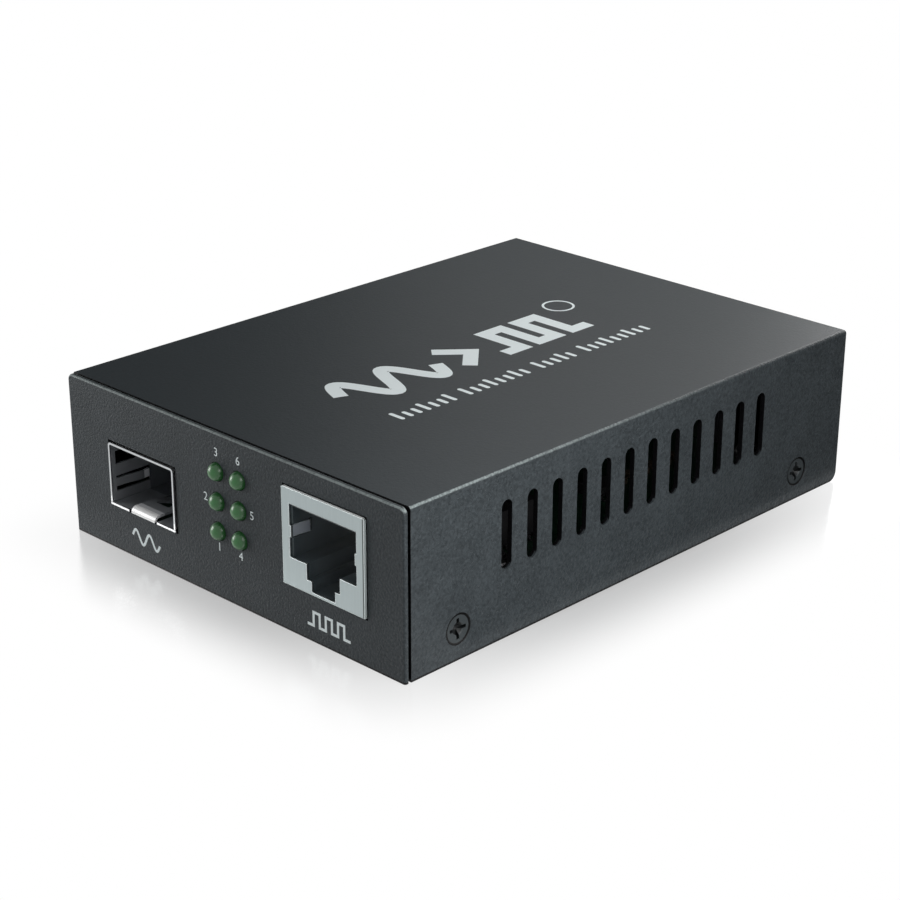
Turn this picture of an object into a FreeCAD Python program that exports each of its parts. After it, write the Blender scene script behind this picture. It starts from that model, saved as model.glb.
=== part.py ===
import FreeCAD, Part
import math
import os

Vector = FreeCAD.Vector

# Fibre media converter in a small folded steel case, in millimetres.
# X runs to the right along the front plate, the front plate faces -Y, and +Z is up.
# The origin is the middle of the base, on the surface that the case stands on.

# Case: a tray with the front and rear plates, and a cover that is the top and both sides.
# It is as wide as its row of ports and as high as its jack, with headroom under the cover.
case_length = 96.0
sheet = 0.8
headroom = 2.65
bend_inside = 0.3
seam = 0.3
wall_gap = 0.15
edge_round = 0.35
plate_corner_radius = 1.0
cover_bend_outside = 0.5
lip_height = 9.0
lip_end_gap = 0.5
cover_corner_radius = 1.5

# Row of ports across the front plate, from its left side to its right
cage_side_margin = 9.175
cage_to_lights = 9.375
lights_to_jack = 9.2
jack_side_margin = 7.05

# Vent slots in each side of the cover
slot_count = 12
slot_pitch = 5.05
slot_width = 2.05
slot_length = 10.1
slot_bottom = 10.35
first_slot_setback = 19.05

# Countersunk screws that hold the cover to the tray
cover_screw_height = 4.6
cover_screw_front_setback = 9.9
cover_screw_rear_setback = 10.85
cover_screw_head = 4.45
cover_screw_shank = 2.5
cover_screw_length = 3.5
cover_screw_sink = 0.12
countersink_depth = 1.2
collar_wall = 0.8
collar_length = 0.9
thread_gap = 0.03
recess_span = 3.1
recess_width = 0.55
recess_depth = 0.7
recess_tip_depth = 1.05
recess_tip_radius = 0.1

# Circuit board on four standoffs
board_thickness = 1.6
board_side_gap = 0.85
board_end_gap = 0.6
standoff_height = 4.7
standoff_radius = 2.4
standoff_shank_radius = 2.0
standoff_sink = 0.05
board_screw_inset = 3.0
board_screw_front_setback = 22.4
board_screw_rear_setback = 14.6
board_screw_head = 4.4
board_screw_head_height = 1.6
board_screw_shank = 2.5
board_screw_length = 4.6
board_hole_gap = 0.15
notch_margin = 0.6
pin_hole_gap = 0.1
tail_below_board = 1.2

# Cage for the plug-in fibre module, on the left of the front plate
cage_width = 14.75
cage_height = 9.8
cage_length = 48.7
cage_sheet = 0.35
cage_corner_radius = 0.6
cage_proud = 0.3
cage_cutout_gap = 0.25
cage_joint_gap = 0.02
cage_slit = 0.35
cage_slit_start = 0.95
cage_lower_slit = 0.7
finger_height = 1.3
finger_bottom = 2.55
finger_length = 5.8
finger_bend = 0.45
finger_bend_start = 1.35
finger_bend_end = 4.3
finger_tip_in = 0.27
finger_root_radius = 1.5
finger_tip_radius = 1.0
cage_window_bottom = 6.1
cage_window_height = 2.0
cage_window_length = 4.2
tongue_width = 5.4
tongue_length = 10.0
tongue_rise = 0.6
tongue_rise_start = 3.0
tongue_rise_end = 5.5
tongue_bend_radius = 2.0
tongue_slit = 0.45
tongue_nose = 0.55
latch_hole_width = 3.0
latch_hole_rear_width = 0.9
latch_hole_length = 2.6
latch_hole_setback = 3.6
latch_hole_corner = 0.2
cage_pin_width = 0.7
cage_pin_count = 4
cage_pin_margin = 5.5
cage_tab_length = 8.0
cage_tab_height = 2.4
cage_tab_count = 2
cage_floor_end_gap = 0.2

# Socket inside the cage that the module's edge plugs into
socket_side_gap = 0.925
socket_depth = 8.6
socket_height = 5.8
socket_rear_gap = 0.5
socket_end_wall = 1.4
socket_slot_height = 1.3
socket_slot_rise = 2.6
socket_slot_depth = 6.0
socket_slot_lip = 0.8
socket_lead_in = 1.5
contacts_per_row_count = 10
socket_contact_pitch = 0.8
socket_contact_width = 0.35
socket_contact_thickness = 0.2
socket_contact_gap = 0.05
socket_contact_setback = 0.8
socket_contact_bow = 0.25
socket_contact_dip = 0.35
socket_bow_radius = 0.5
socket_heel_radius = 0.3
socket_foot_radius = 0.2
socket_heel_gap = 0.5
socket_heel_margin = 0.6
socket_foot = 1.0

# Copper network jack, on the right of the front plate
jack_depth = 18.0
jack_proud = 0.4
jack_cutout_gap = 0.2
jack_skirt_gap = 0.15
jack_sheet = 0.3
jack_side_wall = 1.45
jack_top_wall = 2.2
jack_opening_width = 13.0
jack_opening_bottom = 4.4
jack_opening_height = 7.85
jack_neck_width = 6.5
jack_neck_bottom = 2.1
jack_stem_width = 4.6
jack_stem_bottom = 0.55
jack_tab_bottom = 7.35
jack_tab_height = 1.7
jack_tab_length = 3.4
jack_tab_bend = 0.3
jack_tab_bend_start = 1.5
jack_tab_radius = 1.0
jack_leg_width = 1.6
jack_leg_setback = 9.0
housing_gap = 0.08
housing_cavity_inset = 0.4
housing_cavity_depth = 12.6
housing_pocket_gap = 0.15
wire_count = 8
wire_pitch = 1.02
wire_width = 0.42
wire_thickness = 0.3
wire_groove_gap = 0.06
wire_front_setback = 2.2
wire_reach = 8.6
wire_drop = 2.4
wire_top_gap = 0.5
wire_rear_wall = 1.0
wire_bend = 0.2
wire_tip_bend = 0.35

# Status lights, in two columns of three
light_rise = 3.2
light_row_gap = 1.07
light_column_gap = 1.15
light_row_count = 3
light_radius = 1.35
light_sink = 0.1
light_body_length = 4.6
light_flange_step = 0.35
light_flange_length = 1.0
light_hole_gap = 0.08
lead_size = 0.45
lead_spread = 1.27
lead_run = 1.4
lead_row_step = 1.9
lead_bend = 0.5
holder_side_wall = 0.65
holder_top_wall = 0.25
holder_plate_gap = 0.3
holder_back_lip = 0.4
holder_bore_gap = 0.06

# Power inlet in the rear plate
inlet_side_margin = 12.5
inlet_side_wall = 1.35
inlet_top_wall = 1.45
inlet_back_wall = 4.6
inlet_axis_height = 6.4
inlet_corner_radius = 0.8
inlet_mouth_radius = 3.15
inlet_mouth_depth = 9.6
inlet_hole_step = 0.65
inlet_plate_gap = 0.1
inlet_pin_radius = 1.05
inlet_pin_shoulder = 0.2
inlet_pin_round = 0.63
inlet_pin_setback = 0.6
inlet_pin_gap = 0.02
inlet_spring_width = 1.6
inlet_spring_thickness = 0.25
inlet_spring_setback = 2.0
inlet_spring_length = 5.8
inlet_tail_width = 2.2
inlet_tail_thickness = 0.7

# Legs of the chips, and the wires of what stands on the board
chip_lift = 0.1
leg_thickness = 0.18
leg_root = 0.05
leg_shoulder = 0.4
leg_ankle = 0.55
leg_reach = 1.05
leg_rise = 0.6
leg_bend = 0.15
tail_into_body = 0.5

# Converter chip, in the middle of the board
main_chip_x = 2.0
main_chip_behind_middle = 13.0
main_chip_size = 14.0
main_chip_height = 1.4
main_chip_leg_count = 16
main_chip_leg_pitch = 0.75
main_chip_leg_width = 0.3

# Line transformer, behind the jack
transformer_width = 11.4
transformer_length = 15.0
transformer_height = 5.6
transformer_gap_behind_jack = 3.0
transformer_screw_gap = 0.45
transformer_leg_count = 12
transformer_leg_pitch = 1.15
transformer_leg_width = 0.5

# Memory chip
memory_x = 22.0
memory_behind_middle = 5.0
memory_width = 3.9
memory_length = 4.9
memory_height = 1.5
memory_leg_count = 4
memory_leg_pitch = 1.27
memory_leg_width = 0.42

# Voltage regulator
regulator_x = -19.0
regulator_rear_setback = 13.0
regulator_width = 6.5
regulator_length = 3.5
regulator_height = 1.6
regulator_leg_count = 3
regulator_leg_pitch = 2.3
regulator_leg_width = 0.75

# Crystal can
crystal_x = -6.0
crystal_rear_setback = 12.0
crystal_length = 10.8
crystal_width = 4.6
crystal_height = 3.6
crystal_rim = 0.35
crystal_rim_height = 0.4
crystal_tail_radius = 0.22
crystal_tail_spread = 2.44

# Upright filter capacitors
can_x = 4.0
can_rear_setback = 5.5
can_pitch = 8.0
can_radius = 3.15
can_height = 10.6
can_groove = 0.3
can_groove_height = 1.5
can_groove_round = 0.2
can_foot_round = 0.3
can_rim_round = 0.4
can_tail_radius = 0.27
can_tail_spread = 1.25

# Power coil
coil_x = -19.0
coil_rear_setback = 24.0
coil_size = 6.8
coil_height = 3.6
coil_waist = 0.8
coil_flange_height = 0.8

# Small resistors in rows, and capacitors in one row
resistor_x = 2.0
resistor_before_middle = 2.0
resistor_length = 1.6
resistor_width = 0.8
resistor_height = 0.45
resistor_row_count = 2
resistor_column_count = 8
resistor_pitch = 2.2
resistor_row_gap = 0.4
capacitor_x = 22.0
capacitor_behind_middle = 10.0
capacitor_length = 2.0
capacitor_width = 1.25
capacitor_height = 0.9
capacitor_count = 6
capacitor_pitch = 2.6

# Every cut runs this far past what it cuts
overrun = 1.0
tiny = 1e-6

# Sizes that follow from the ones above
light_flange_radius = light_radius + light_flange_step
light_row_pitch = 2 * light_flange_radius + light_row_gap
light_column_pitch = 2 * light_flange_radius + light_column_gap
jack_width = jack_opening_width + 2 * jack_side_wall
jack_height = jack_opening_bottom + jack_opening_height + jack_top_wall
ports_left = cage_side_margin + cage_width + cage_to_lights
ports_right = lights_to_jack + jack_width + jack_side_margin
case_width = ports_left + light_column_pitch + ports_right
board_bottom = sheet + standoff_height
board_top = board_bottom + board_thickness
case_height = board_top + jack_height + headroom + sheet
socket_width = cage_width - 2 * cage_sheet - 2 * socket_side_gap
socket_slot_width = socket_width - 2 * socket_end_wall
inlet_width = 2 * (inlet_mouth_radius + inlet_side_wall)
inlet_height = inlet_axis_height + inlet_mouth_radius + inlet_top_wall
inlet_depth = inlet_mouth_depth + inlet_back_wall

# Places that several parts share
front_y = -case_length / 2
rear_y = case_length / 2
side_x = case_width / 2
plate_back = front_y + sheet
cover_front = plate_back + seam
rear_plate_front = rear_y - sheet
bend_outside = bend_inside + sheet
bend_middle = bend_inside + sheet / 2
tray_half = side_x - sheet - wall_gap
lip_inner = tray_half - sheet
lip_start = plate_back + bend_inside + lip_end_gap
lip_end = rear_plate_front - bend_inside - lip_end_gap
board_half = lip_inner - board_side_gap
board_front = plate_back + board_end_gap
board_rear = rear_plate_front - board_end_gap
board_middle_y = (board_front + board_rear) / 2
tail_end = board_bottom - tail_below_board
cover_screw_ys = (front_y + cover_screw_front_setback, rear_y - cover_screw_rear_setback)
board_screw_x = board_half - board_screw_inset
board_screw_ys = (board_front + board_screw_front_setback, board_rear - board_screw_rear_setback)
cage_front = front_y - cage_proud
cage_back = cage_front + cage_length
cage_left = -side_x + cage_side_margin
cage_right = cage_left + cage_width
cage_x = (cage_left + cage_right) / 2
cage_floor_top = board_top + cage_sheet
cage_top = board_top + cage_height
socket_back = cage_back - cage_sheet - socket_rear_gap
socket_front = socket_back - socket_depth
cage_floor_back = socket_front - cage_floor_end_gap
light_columns = (cage_right + cage_to_lights, cage_right + cage_to_lights + light_column_pitch)
light_zs = [board_top + light_rise + row * light_row_pitch for row in range(light_row_count)]
light_centre_y = front_y + light_sink
light_body_end = light_centre_y + light_body_length
holder_front = plate_back + holder_plate_gap
holder_back = light_body_end + holder_back_lip
jack_front = front_y - jack_proud
jack_back = jack_front + jack_depth
jack_right = side_x - jack_side_margin
jack_left = jack_right - jack_width
jack_x = (jack_left + jack_right) / 2
jack_top = board_top + jack_height
wire_top = jack_top - jack_sheet - housing_gap - wire_top_gap
wire_rear_y = jack_back - jack_sheet - housing_gap - wire_rear_wall
inlet_x = side_x - inlet_side_margin - inlet_width / 2
inlet_face = rear_plate_front - inlet_plate_gap
inlet_back = inlet_face - inlet_depth
inlet_axis_z = board_top + inlet_axis_height
inlet_leaf_end = inlet_face - inlet_spring_setback
inlet_pin_tail_y = inlet_back - inlet_tail_thickness / 2
inlet_leaf_tail_y = inlet_leaf_end - inlet_spring_length
crystal_y = board_rear - crystal_rear_setback
can_y = board_rear - can_rear_setback

UP = Vector(0, 0, 1)
BACK = Vector(0, 1, 0)
RIGHT = Vector(1, 0, 0)
ORIGIN = Vector(0, 0, 0)


def block(x0, x1, y0, y1, z0, z1):
    # a box between two corners, in any order along x
    low = min(x0, x1)
    high = max(x0, x1)
    return Part.makeBox(high - low, y1 - y0, z1 - z0, Vector(low, y0, z0))


def box_at(x, y, width, length, z0, z1):
    # an upright box round one middle
    return block(x - width / 2, x + width / 2, y - length / 2, y + length / 2, z0, z1)


def join(shapes):
    whole = shapes[0].multiFuse(shapes[1:])
    return whole.removeSplitter()


def facing_x(x):
    # puts (u, v) at (y, z) in the plane of one x
    return lambda u, v: Vector(x, u, v)


def facing_y(y):
    # puts (u, v) at (x, z) in the plane of one y
    return lambda u, v: Vector(u, y, v)


def facing_z(z):
    # puts (u, v) at (x, y) in the plane of one z
    return lambda u, v: Vector(u, v, z)


def rounded_face(corners, place):
    # a flat face with corners (u, v, radius) in order
    starts = []
    ends = []
    arcs = []
    for i, (u, v, radius) in enumerate(corners):
        corner = Vector(u, v, 0)
        before = corners[i - 1]
        after = corners[(i + 1) % len(corners)]
        to_before = (Vector(before[0], before[1], 0) - corner).normalize()
        to_after = (Vector(after[0], after[1], 0) - corner).normalize()
        if radius <= 0:
            starts.append(corner)
            ends.append(corner)
            arcs.append(None)
            continue
        half = to_before.getAngle(to_after) / 2
        back = radius / math.tan(half)
        inward = (to_before + to_after).normalize()
        starts.append(corner + to_before * back)
        ends.append(corner + to_after * back)
        arcs.append(corner + inward * (radius / math.sin(half) - radius))
    edges = []
    for i, middle in enumerate(arcs):
        start = place(starts[i].x, starts[i].y)
        end = place(ends[i].x, ends[i].y)
        if middle is not None:
            edges.append(Part.Arc(start, place(middle.x, middle.y), end).toShape())
        following = starts[(i + 1) % len(arcs)]
        next_start = place(following.x, following.y)
        if (next_start - end).Length > tiny:
            edges.append(Part.LineSegment(end, next_start).toShape())
    return Part.Face(Part.Wire(edges))


def oblong_face(x0, x1, y0, y1, radius, place):
    corners = [(x0, y0, radius), (x1, y0, radius), (x1, y1, radius), (x0, y1, radius)]
    return rounded_face(corners, place)


def strip_corners(path, thickness):
    # the outline of a strip of even thickness along a path of (u, v, bend radius)
    half = thickness / 2
    last = len(path) - 1
    points = [Vector(u, v, 0) for u, v, radius in path]
    left = []
    right = []
    for i, point in enumerate(points):
        coming = (point - points[i - 1]).normalize() if i > 0 else (points[1] - point).normalize()
        going = (points[i + 1] - point).normalize() if i < last else coming
        side_in = Vector(-coming.y, coming.x, 0)
        side_out = Vector(-going.y, going.x, 0)
        offset = (side_in + side_out) * (half / (1 + side_in.dot(side_out)))
        radius = path[i][2]
        inner = max(radius - half, 0) if radius > 0 else 0
        outer = radius + half if radius > 0 else 0
        turns_left = coming.cross(going).z > 0
        left_point = point + offset
        right_point = point - offset
        left.append((left_point.x, left_point.y, inner if turns_left else outer))
        right.append((right_point.x, right_point.y, outer if turns_left else inner))
    return left + right[::-1]


def bent_strip(path, thickness, place, along):
    return rounded_face(strip_corners(path, thickness), place).extrude(along)


def even_steps(count, pitch):
    # places along a row that is centred on zero
    first = -(count - 1) * pitch / 2
    return [first + i * pitch for i in range(count)]


def cross_recess(depth):
    # cut in a head whose top is at z = 0, for a screw that points down
    long_arm = box_at(0, 0, recess_span, recess_width, -depth, overrun)
    other_arm = box_at(0, 0, recess_width, recess_span, -depth, overrun)
    tip = Part.makeCone(recess_tip_radius, recess_span / 3, recess_tip_depth,
                        UP * -recess_tip_depth, UP)
    return long_arm.fuse(other_arm).fuse(tip)


def slot_solid(y, side):
    # one vent slot with round ends, through the side wall of the cover
    half = slot_width / 2
    inside = side * (side_x - sheet - overrun)
    outline = oblong_face(y - half, y + half, slot_bottom, slot_bottom + slot_length, half, facing_x(inside))
    return outline.extrude(RIGHT * side * (sheet + 2 * overrun))


def countersink(side, y, margin):
    # the cone of a flush screw head, larger by a margin, pointing inward from the side
    mouth = cover_screw_head / 2 + cover_screw_sink + margin
    start = Vector(side * side_x, y, cover_screw_height)
    return Part.makeCone(mouth, mouth - countersink_depth, countersink_depth, start, RIGHT * -side)


def make_cover():
    # its two long bends are pressed tight, so their outside is sharper than the tray's bends
    wall = side_x - sheet / 2
    tight_bend = cover_bend_outside - sheet / 2
    path = [
        (-wall, 0, 0),
        (-wall, case_height - sheet / 2, tight_bend),
        (wall, case_height - sheet / 2, tight_bend),
        (wall, 0, 0),
    ]
    cover = bent_strip(path, sheet, facing_y(cover_front), BACK * (rear_y - cover_front))
    lower_corners = []
    for edge in cover.Edges:
        middle = edge.BoundBox.Center
        at_rear = abs(middle.y - rear_y) < tiny
        at_foot = abs(middle.z) < tiny
        if at_rear and at_foot and edge.Length < 2 * sheet:
            lower_corners.append(edge)
    cover = cover.makeFillet(cover_corner_radius, lower_corners)
    cuts = []
    for side in (-1, 1):
        for i in range(slot_count):
            cuts.append(slot_solid(front_y + first_slot_setback + i * slot_pitch, side))
        for y in cover_screw_ys:
            cuts.append(countersink(side, y, thread_gap))
    return cover.cut(cuts)


def front_plate():
    # the plate stands in front of the cover, on a foot pressed square where the bottom folds up
    plate = block(-side_x, side_x, front_y, plate_back, 0, case_height)
    upper_corners = []
    for edge in plate.Edges:
        if edge.BoundBox.YLength > sheet / 2 and edge.BoundBox.Center.z > sheet:
            upper_corners.append(edge)
    plate = plate.makeFillet(plate_corner_radius, upper_corners)
    outline = []
    for edge in plate.Edges:
        if edge.BoundBox.YLength < tiny and edge.BoundBox.Center.z > tiny:
            outline.append(edge)
    plate = plate.makeFillet(edge_round, outline)
    foot = block(-tray_half, tray_half, front_y, plate_back + bend_inside, 0, sheet)
    return join([plate, foot])


def front_cutouts():
    before = front_y - overrun
    behind = plate_back + overrun
    gap = cage_cutout_gap
    cage_hole = block(cage_left - gap, cage_right + gap, before, behind, board_top - gap, cage_top + gap)
    gap = jack_cutout_gap
    jack_hole = block(jack_left - gap, jack_right + gap, before, behind, board_top - gap, jack_top + gap)
    cuts = [cage_hole, jack_hole]
    for x in light_columns:
        for z in light_zs:
            radius = light_radius + light_hole_gap
            cuts.append(Part.makeCylinder(radius, behind - before, Vector(x, before, z), BACK))
    return cuts


def make_tray():
    # the bottom folds up into the front plate, the rear plate and two side lips
    rear_top = case_height - sheet - wall_gap
    path = [
        (front_y + sheet / 2, bend_outside, 0),
        (front_y + sheet / 2, sheet / 2, bend_middle),
        (rear_y - sheet / 2, sheet / 2, bend_middle),
        (rear_y - sheet / 2, rear_top, 0),
    ]
    floor = bent_strip(path, sheet, facing_x(-tray_half), RIGHT * (2 * tray_half))
    lips = []
    cuts = []
    hole_radius = cover_screw_shank / 2 + thread_gap
    for side in (-1, 1):
        flat_end = side * (tray_half - bend_outside)
        outside_x = side * (tray_half + overrun)
        floor = floor.cut(block(flat_end, outside_x, lip_start, lip_end, -overrun, bend_outside + overrun))
        lip_path = [
            (flat_end, sheet / 2, 0),
            (side * (tray_half - sheet / 2), sheet / 2, bend_middle),
            (side * (tray_half - sheet / 2), lip_height, 0),
        ]
        lips.append(bent_strip(lip_path, sheet, facing_y(lip_start), BACK * (lip_end - lip_start)))
        inward = RIGHT * -side
        for y in cover_screw_ys:
            start = Vector(side * (lip_inner + sheet / 2), y, cover_screw_height)
            lips.append(Part.makeCylinder(hole_radius + collar_wall, collar_length + sheet / 2, start, inward))
            outside = Vector(outside_x, y, cover_screw_height)
            hole_length = sheet + collar_length + 2 * overrun
            cuts.append(Part.makeCylinder(hole_radius, hole_length, outside, inward))
            cuts.append(countersink(side, y, thread_gap))
    cuts.extend(front_cutouts())
    inlet_start = Vector(inlet_x, rear_plate_front - overrun, inlet_axis_z)
    inlet_hole = inlet_mouth_radius + inlet_hole_step
    cuts.append(Part.makeCylinder(inlet_hole, sheet + 2 * overrun, inlet_start, BACK))
    for x in (-board_screw_x, board_screw_x):
        for y in board_screw_ys:
            start = Vector(x, y, -overrun)
            cuts.append(Part.makeCylinder(standoff_shank_radius + thread_gap, sheet + 2 * overrun, start, UP))
    return join([floor, front_plate()] + lips).cut(cuts)


def make_cover_screws():
    head_radius = cover_screw_head / 2
    shank_radius = cover_screw_shank / 2
    head_depth = head_radius - shank_radius
    screws = []
    for side in (-1, 1):
        for y in cover_screw_ys:
            head = Part.makeCone(head_radius, shank_radius, head_depth, ORIGIN, UP * -1)
            shank = Part.makeCylinder(shank_radius, cover_screw_length - head_depth, UP * -head_depth, UP * -1)
            screw = head.fuse(shank).removeSplitter().cut(cross_recess(recess_depth))
            screw.rotate(ORIGIN, BACK, 90 * side)
            screw.translate(Vector(side * (side_x - cover_screw_sink), y, cover_screw_height))
            screws.append(screw)
    return Part.makeCompound(screws)


def make_standoffs():
    posts = []
    thread_radius = board_screw_shank / 2 + thread_gap
    for x in (-board_screw_x, board_screw_x):
        for y in board_screw_ys:
            post = Part.makeCylinder(standoff_radius, standoff_height, Vector(x, y, sheet), UP)
            shank = Part.makeCylinder(standoff_shank_radius, sheet - standoff_sink,
                                      Vector(x, y, standoff_sink), UP)
            thread = Part.makeCylinder(thread_radius, board_bottom + 2 * overrun, Vector(x, y, -overrun), UP)
            posts.append(post.fuse(shank).removeSplitter().cut(thread))
    return Part.makeCompound(posts)


def make_board_screws():
    screws = []
    for x in (-board_screw_x, board_screw_x):
        for y in board_screw_ys:
            head = Part.makeCylinder(board_screw_head / 2, board_screw_head_height, ORIGIN, UP)
            rim = [edge for edge in head.Edges if edge.BoundBox.ZMin > board_screw_head_height / 2]
            head = head.makeFillet(board_screw_head_height / 2, rim)
            shank = Part.makeCylinder(board_screw_shank / 2, board_screw_length, UP * -board_screw_length, UP)
            recess = cross_recess(recess_depth)
            recess.translate(UP * board_screw_head_height)
            screw = head.fuse(shank).removeSplitter().cut(recess)
            screw.translate(Vector(x, y, board_top))
            screws.append(screw)
    return Part.makeCompound(screws)


def cage_pin_ys():
    first = cage_front + cage_pin_margin
    step = (cage_length - 2 * cage_pin_margin) / (cage_pin_count - 1)
    return [first + i * step for i in range(cage_pin_count)]


def cage_pin_places():
    # middles of the pins under the cage's two sides, set midway in the cage's wall
    places = []
    for x in (cage_left + cage_sheet / 2, cage_right - cage_sheet / 2):
        for y in cage_pin_ys():
            places.append((x, y))
    return places


def jack_leg_places():
    y = jack_front + jack_leg_setback
    return [(jack_left + jack_sheet / 2, y), (jack_right - jack_sheet / 2, y)]


def wire_xs():
    return [jack_x + step for step in even_steps(wire_count, wire_pitch)]


def lead_places():
    # the two legs of each light, with the upper rows further back
    places = []
    for x in light_columns:
        for row, z in enumerate(light_zs):
            y = light_body_end + lead_run + row * lead_row_step
            places.append((x - lead_spread, y, z))
            places.append((x + lead_spread, y, z))
    return places


def can_places():
    return [(can_x, can_y), (can_x - can_pitch, can_y)]


def round_hole(x, y, radius):
    return Part.makeCylinder(radius, board_thickness + 2 * overrun, Vector(x, y, board_bottom - overrun), UP)


def oblong_hole(x, y, width, length):
    grow = 2 * pin_hole_gap
    return box_at(x, y, width + grow, length + grow, board_bottom - overrun, board_top + overrun)


def board_holes():
    holes = []
    for x in (-board_screw_x, board_screw_x):
        for y in board_screw_ys:
            holes.append(round_hole(x, y, board_screw_shank / 2 + board_hole_gap))
    for x, y in cage_pin_places():
        holes.append(oblong_hole(x, y, cage_sheet, cage_pin_width))
    for x, y in jack_leg_places():
        holes.append(oblong_hole(x, y, jack_sheet, jack_leg_width))
    for x in wire_xs():
        holes.append(oblong_hole(x, wire_rear_y, wire_width, wire_thickness))
    for x, y, z in lead_places():
        holes.append(oblong_hole(x, y, lead_size, lead_size))
    for y in (inlet_pin_tail_y, inlet_leaf_tail_y):
        holes.append(oblong_hole(inlet_x, y, inlet_tail_width, inlet_tail_thickness))
    for step in (-crystal_tail_spread, crystal_tail_spread):
        holes.append(round_hole(crystal_x + step, crystal_y, crystal_tail_radius + pin_hole_gap))
    for x, y in can_places():
        for step in (-can_tail_spread, can_tail_spread):
            holes.append(round_hole(x + step, y, can_tail_radius + pin_hole_gap))
    return holes


def make_board():
    # the board's edges are notched round the screws of the cover
    board = block(-board_half, board_half, board_front, board_rear, board_bottom, board_top)
    cuts = board_holes()
    reach = cover_screw_length + notch_margin
    half = cover_screw_shank / 2 + thread_gap + collar_wall + notch_margin
    for side in (-1, 1):
        for y in cover_screw_ys:
            inner = side * (side_x - reach)
            outer = side * (board_half + overrun)
            cuts.append(block(inner, outer, y - half, y + half, board_bottom - overrun, board_top + overrun))
    return board.cut(cuts)


def cage_side_finger(side):
    # a sprung finger cut from the side wall, bent in towards the module
    wall = cage_x + side * (cage_width / 2 - cage_sheet / 2)
    start = cage_front + cage_slit_start
    path = [
        (wall, start - cage_joint_gap, 0),
        (wall, start + finger_bend_start, finger_root_radius),
        (wall - side * finger_bend, start + finger_bend_end, finger_tip_radius),
        (wall - side * finger_tip_in, start + finger_length, 0),
    ]
    low = board_top + finger_bottom
    return bent_strip(path, cage_sheet, facing_z(low), UP * finger_height)


def make_cage_shell():
    # top, two sides and a back, open under the socket
    middle = cage_sheet / 2
    side_bottom = cage_floor_top + cage_joint_gap
    path = [
        (cage_left + middle, side_bottom, 0),
        (cage_left + middle, cage_top - middle, cage_corner_radius - middle),
        (cage_right - middle, cage_top - middle, cage_corner_radius - middle),
        (cage_right - middle, side_bottom, 0),
    ]
    body = bent_strip(path, cage_sheet, facing_y(cage_front), BACK * cage_length)
    back = block(cage_left + cage_sheet, cage_right - cage_sheet, cage_back - cage_sheet, cage_back,
                 side_bottom, cage_top - cage_sheet)
    pieces = [body, back]
    for x, y in cage_pin_places():
        pieces.append(box_at(x, y, cage_sheet, cage_pin_width, tail_end, side_bottom + cage_sheet))
    shell = join(pieces)
    cuts = []
    slit_from = cage_front + cage_slit_start
    for side in (-1, 1):
        wall = cage_x + side * cage_width / 2
        inside = wall - side * (cage_sheet + overrun)
        outside = wall + side * overrun
        low = board_top + finger_bottom - cage_lower_slit
        high = board_top + finger_bottom + finger_height + cage_slit
        cuts.append(block(inside, outside, slit_from, slit_from + finger_length + cage_slit, low, high))
        window_low = board_top + cage_window_bottom
        window_high = window_low + cage_window_height
        cuts.append(block(inside, outside, slit_from, slit_from + cage_window_length, window_low, window_high))
    shell = shell.cut(cuts)
    return join([shell, cage_side_finger(-1), cage_side_finger(1)])


def make_tongue():
    # the sprung tongue in the front of the cage's floor, raised and rolled over at its nose
    middle = cage_sheet / 2
    slit_back = cage_front + tongue_length
    flat = board_top + middle
    raised = flat + tongue_rise
    path = [
        (slit_back + cage_joint_gap, flat, 0),
        (slit_back - tongue_rise_start, flat, tongue_bend_radius),
        (slit_back - tongue_rise_end, raised, tongue_bend_radius),
        (cage_front + middle, raised, tongue_nose + middle),
        (cage_front + middle, board_top, 0),
    ]
    tongue = bent_strip(path, cage_sheet, facing_x(cage_x - tongue_width / 2), RIGHT * tongue_width)
    hole_front = cage_front + latch_hole_setback
    hole_back = hole_front + latch_hole_length
    corners = [
        (cage_x - latch_hole_width / 2, hole_front, latch_hole_corner),
        (cage_x + latch_hole_width / 2, hole_front, latch_hole_corner),
        (cage_x + latch_hole_rear_width / 2, hole_back, latch_hole_corner),
        (cage_x - latch_hole_rear_width / 2, hole_back, latch_hole_corner),
    ]
    latch_hole = rounded_face(corners, facing_z(board_top - overrun)).extrude(UP * (3 * overrun))
    return tongue.cut(latch_hole)


def make_cage_floor():
    # floor of the cage, with its tongue, and tabs up each side of the shell between its pins
    floor = block(cage_left, cage_right, cage_front, cage_floor_back, board_top, cage_floor_top)
    half_opening = tongue_width / 2 + tongue_slit
    floor = floor.cut(block(cage_x - half_opening, cage_x + half_opening, cage_front - overrun,
                            cage_front + tongue_length, board_top - overrun, cage_floor_top + overrun))
    pin_cuts = []
    for x, y in cage_pin_places():
        side = math.copysign(1, x - cage_x)
        inner = x - side * (cage_sheet / 2 + cage_joint_gap)
        outer = x + side * (cage_sheet / 2 + overrun)
        half_pin = cage_pin_width / 2 + cage_joint_gap
        pin_cuts.append(block(inner, outer, y - half_pin, y + half_pin,
                              board_top - overrun, cage_floor_top + overrun))
    pin_ys = cage_pin_ys()
    tab_starts = [(pin_ys[i] + pin_ys[i + 1] - cage_tab_length) / 2 for i in range(cage_tab_count)]
    tabs = []
    for side in (-1, 1):
        wall = cage_x + side * (cage_width / 2 - cage_joint_gap)
        outside = cage_x + side * (cage_width / 2 + cage_sheet + cage_joint_gap)
        inner_face = cage_x + side * (cage_width / 2 + cage_joint_gap)
        for start in tab_starts:
            end = start + cage_tab_length
            tab = block(wall, outside, start, end, board_top, board_top + cage_tab_height)
            room = block(wall, inner_face, start - overrun, end + overrun,
                         cage_floor_top, board_top + cage_tab_height + overrun)
            tabs.append(tab.cut(room))
    return join([floor, make_tongue()] + tabs).cut(pin_cuts)


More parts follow.
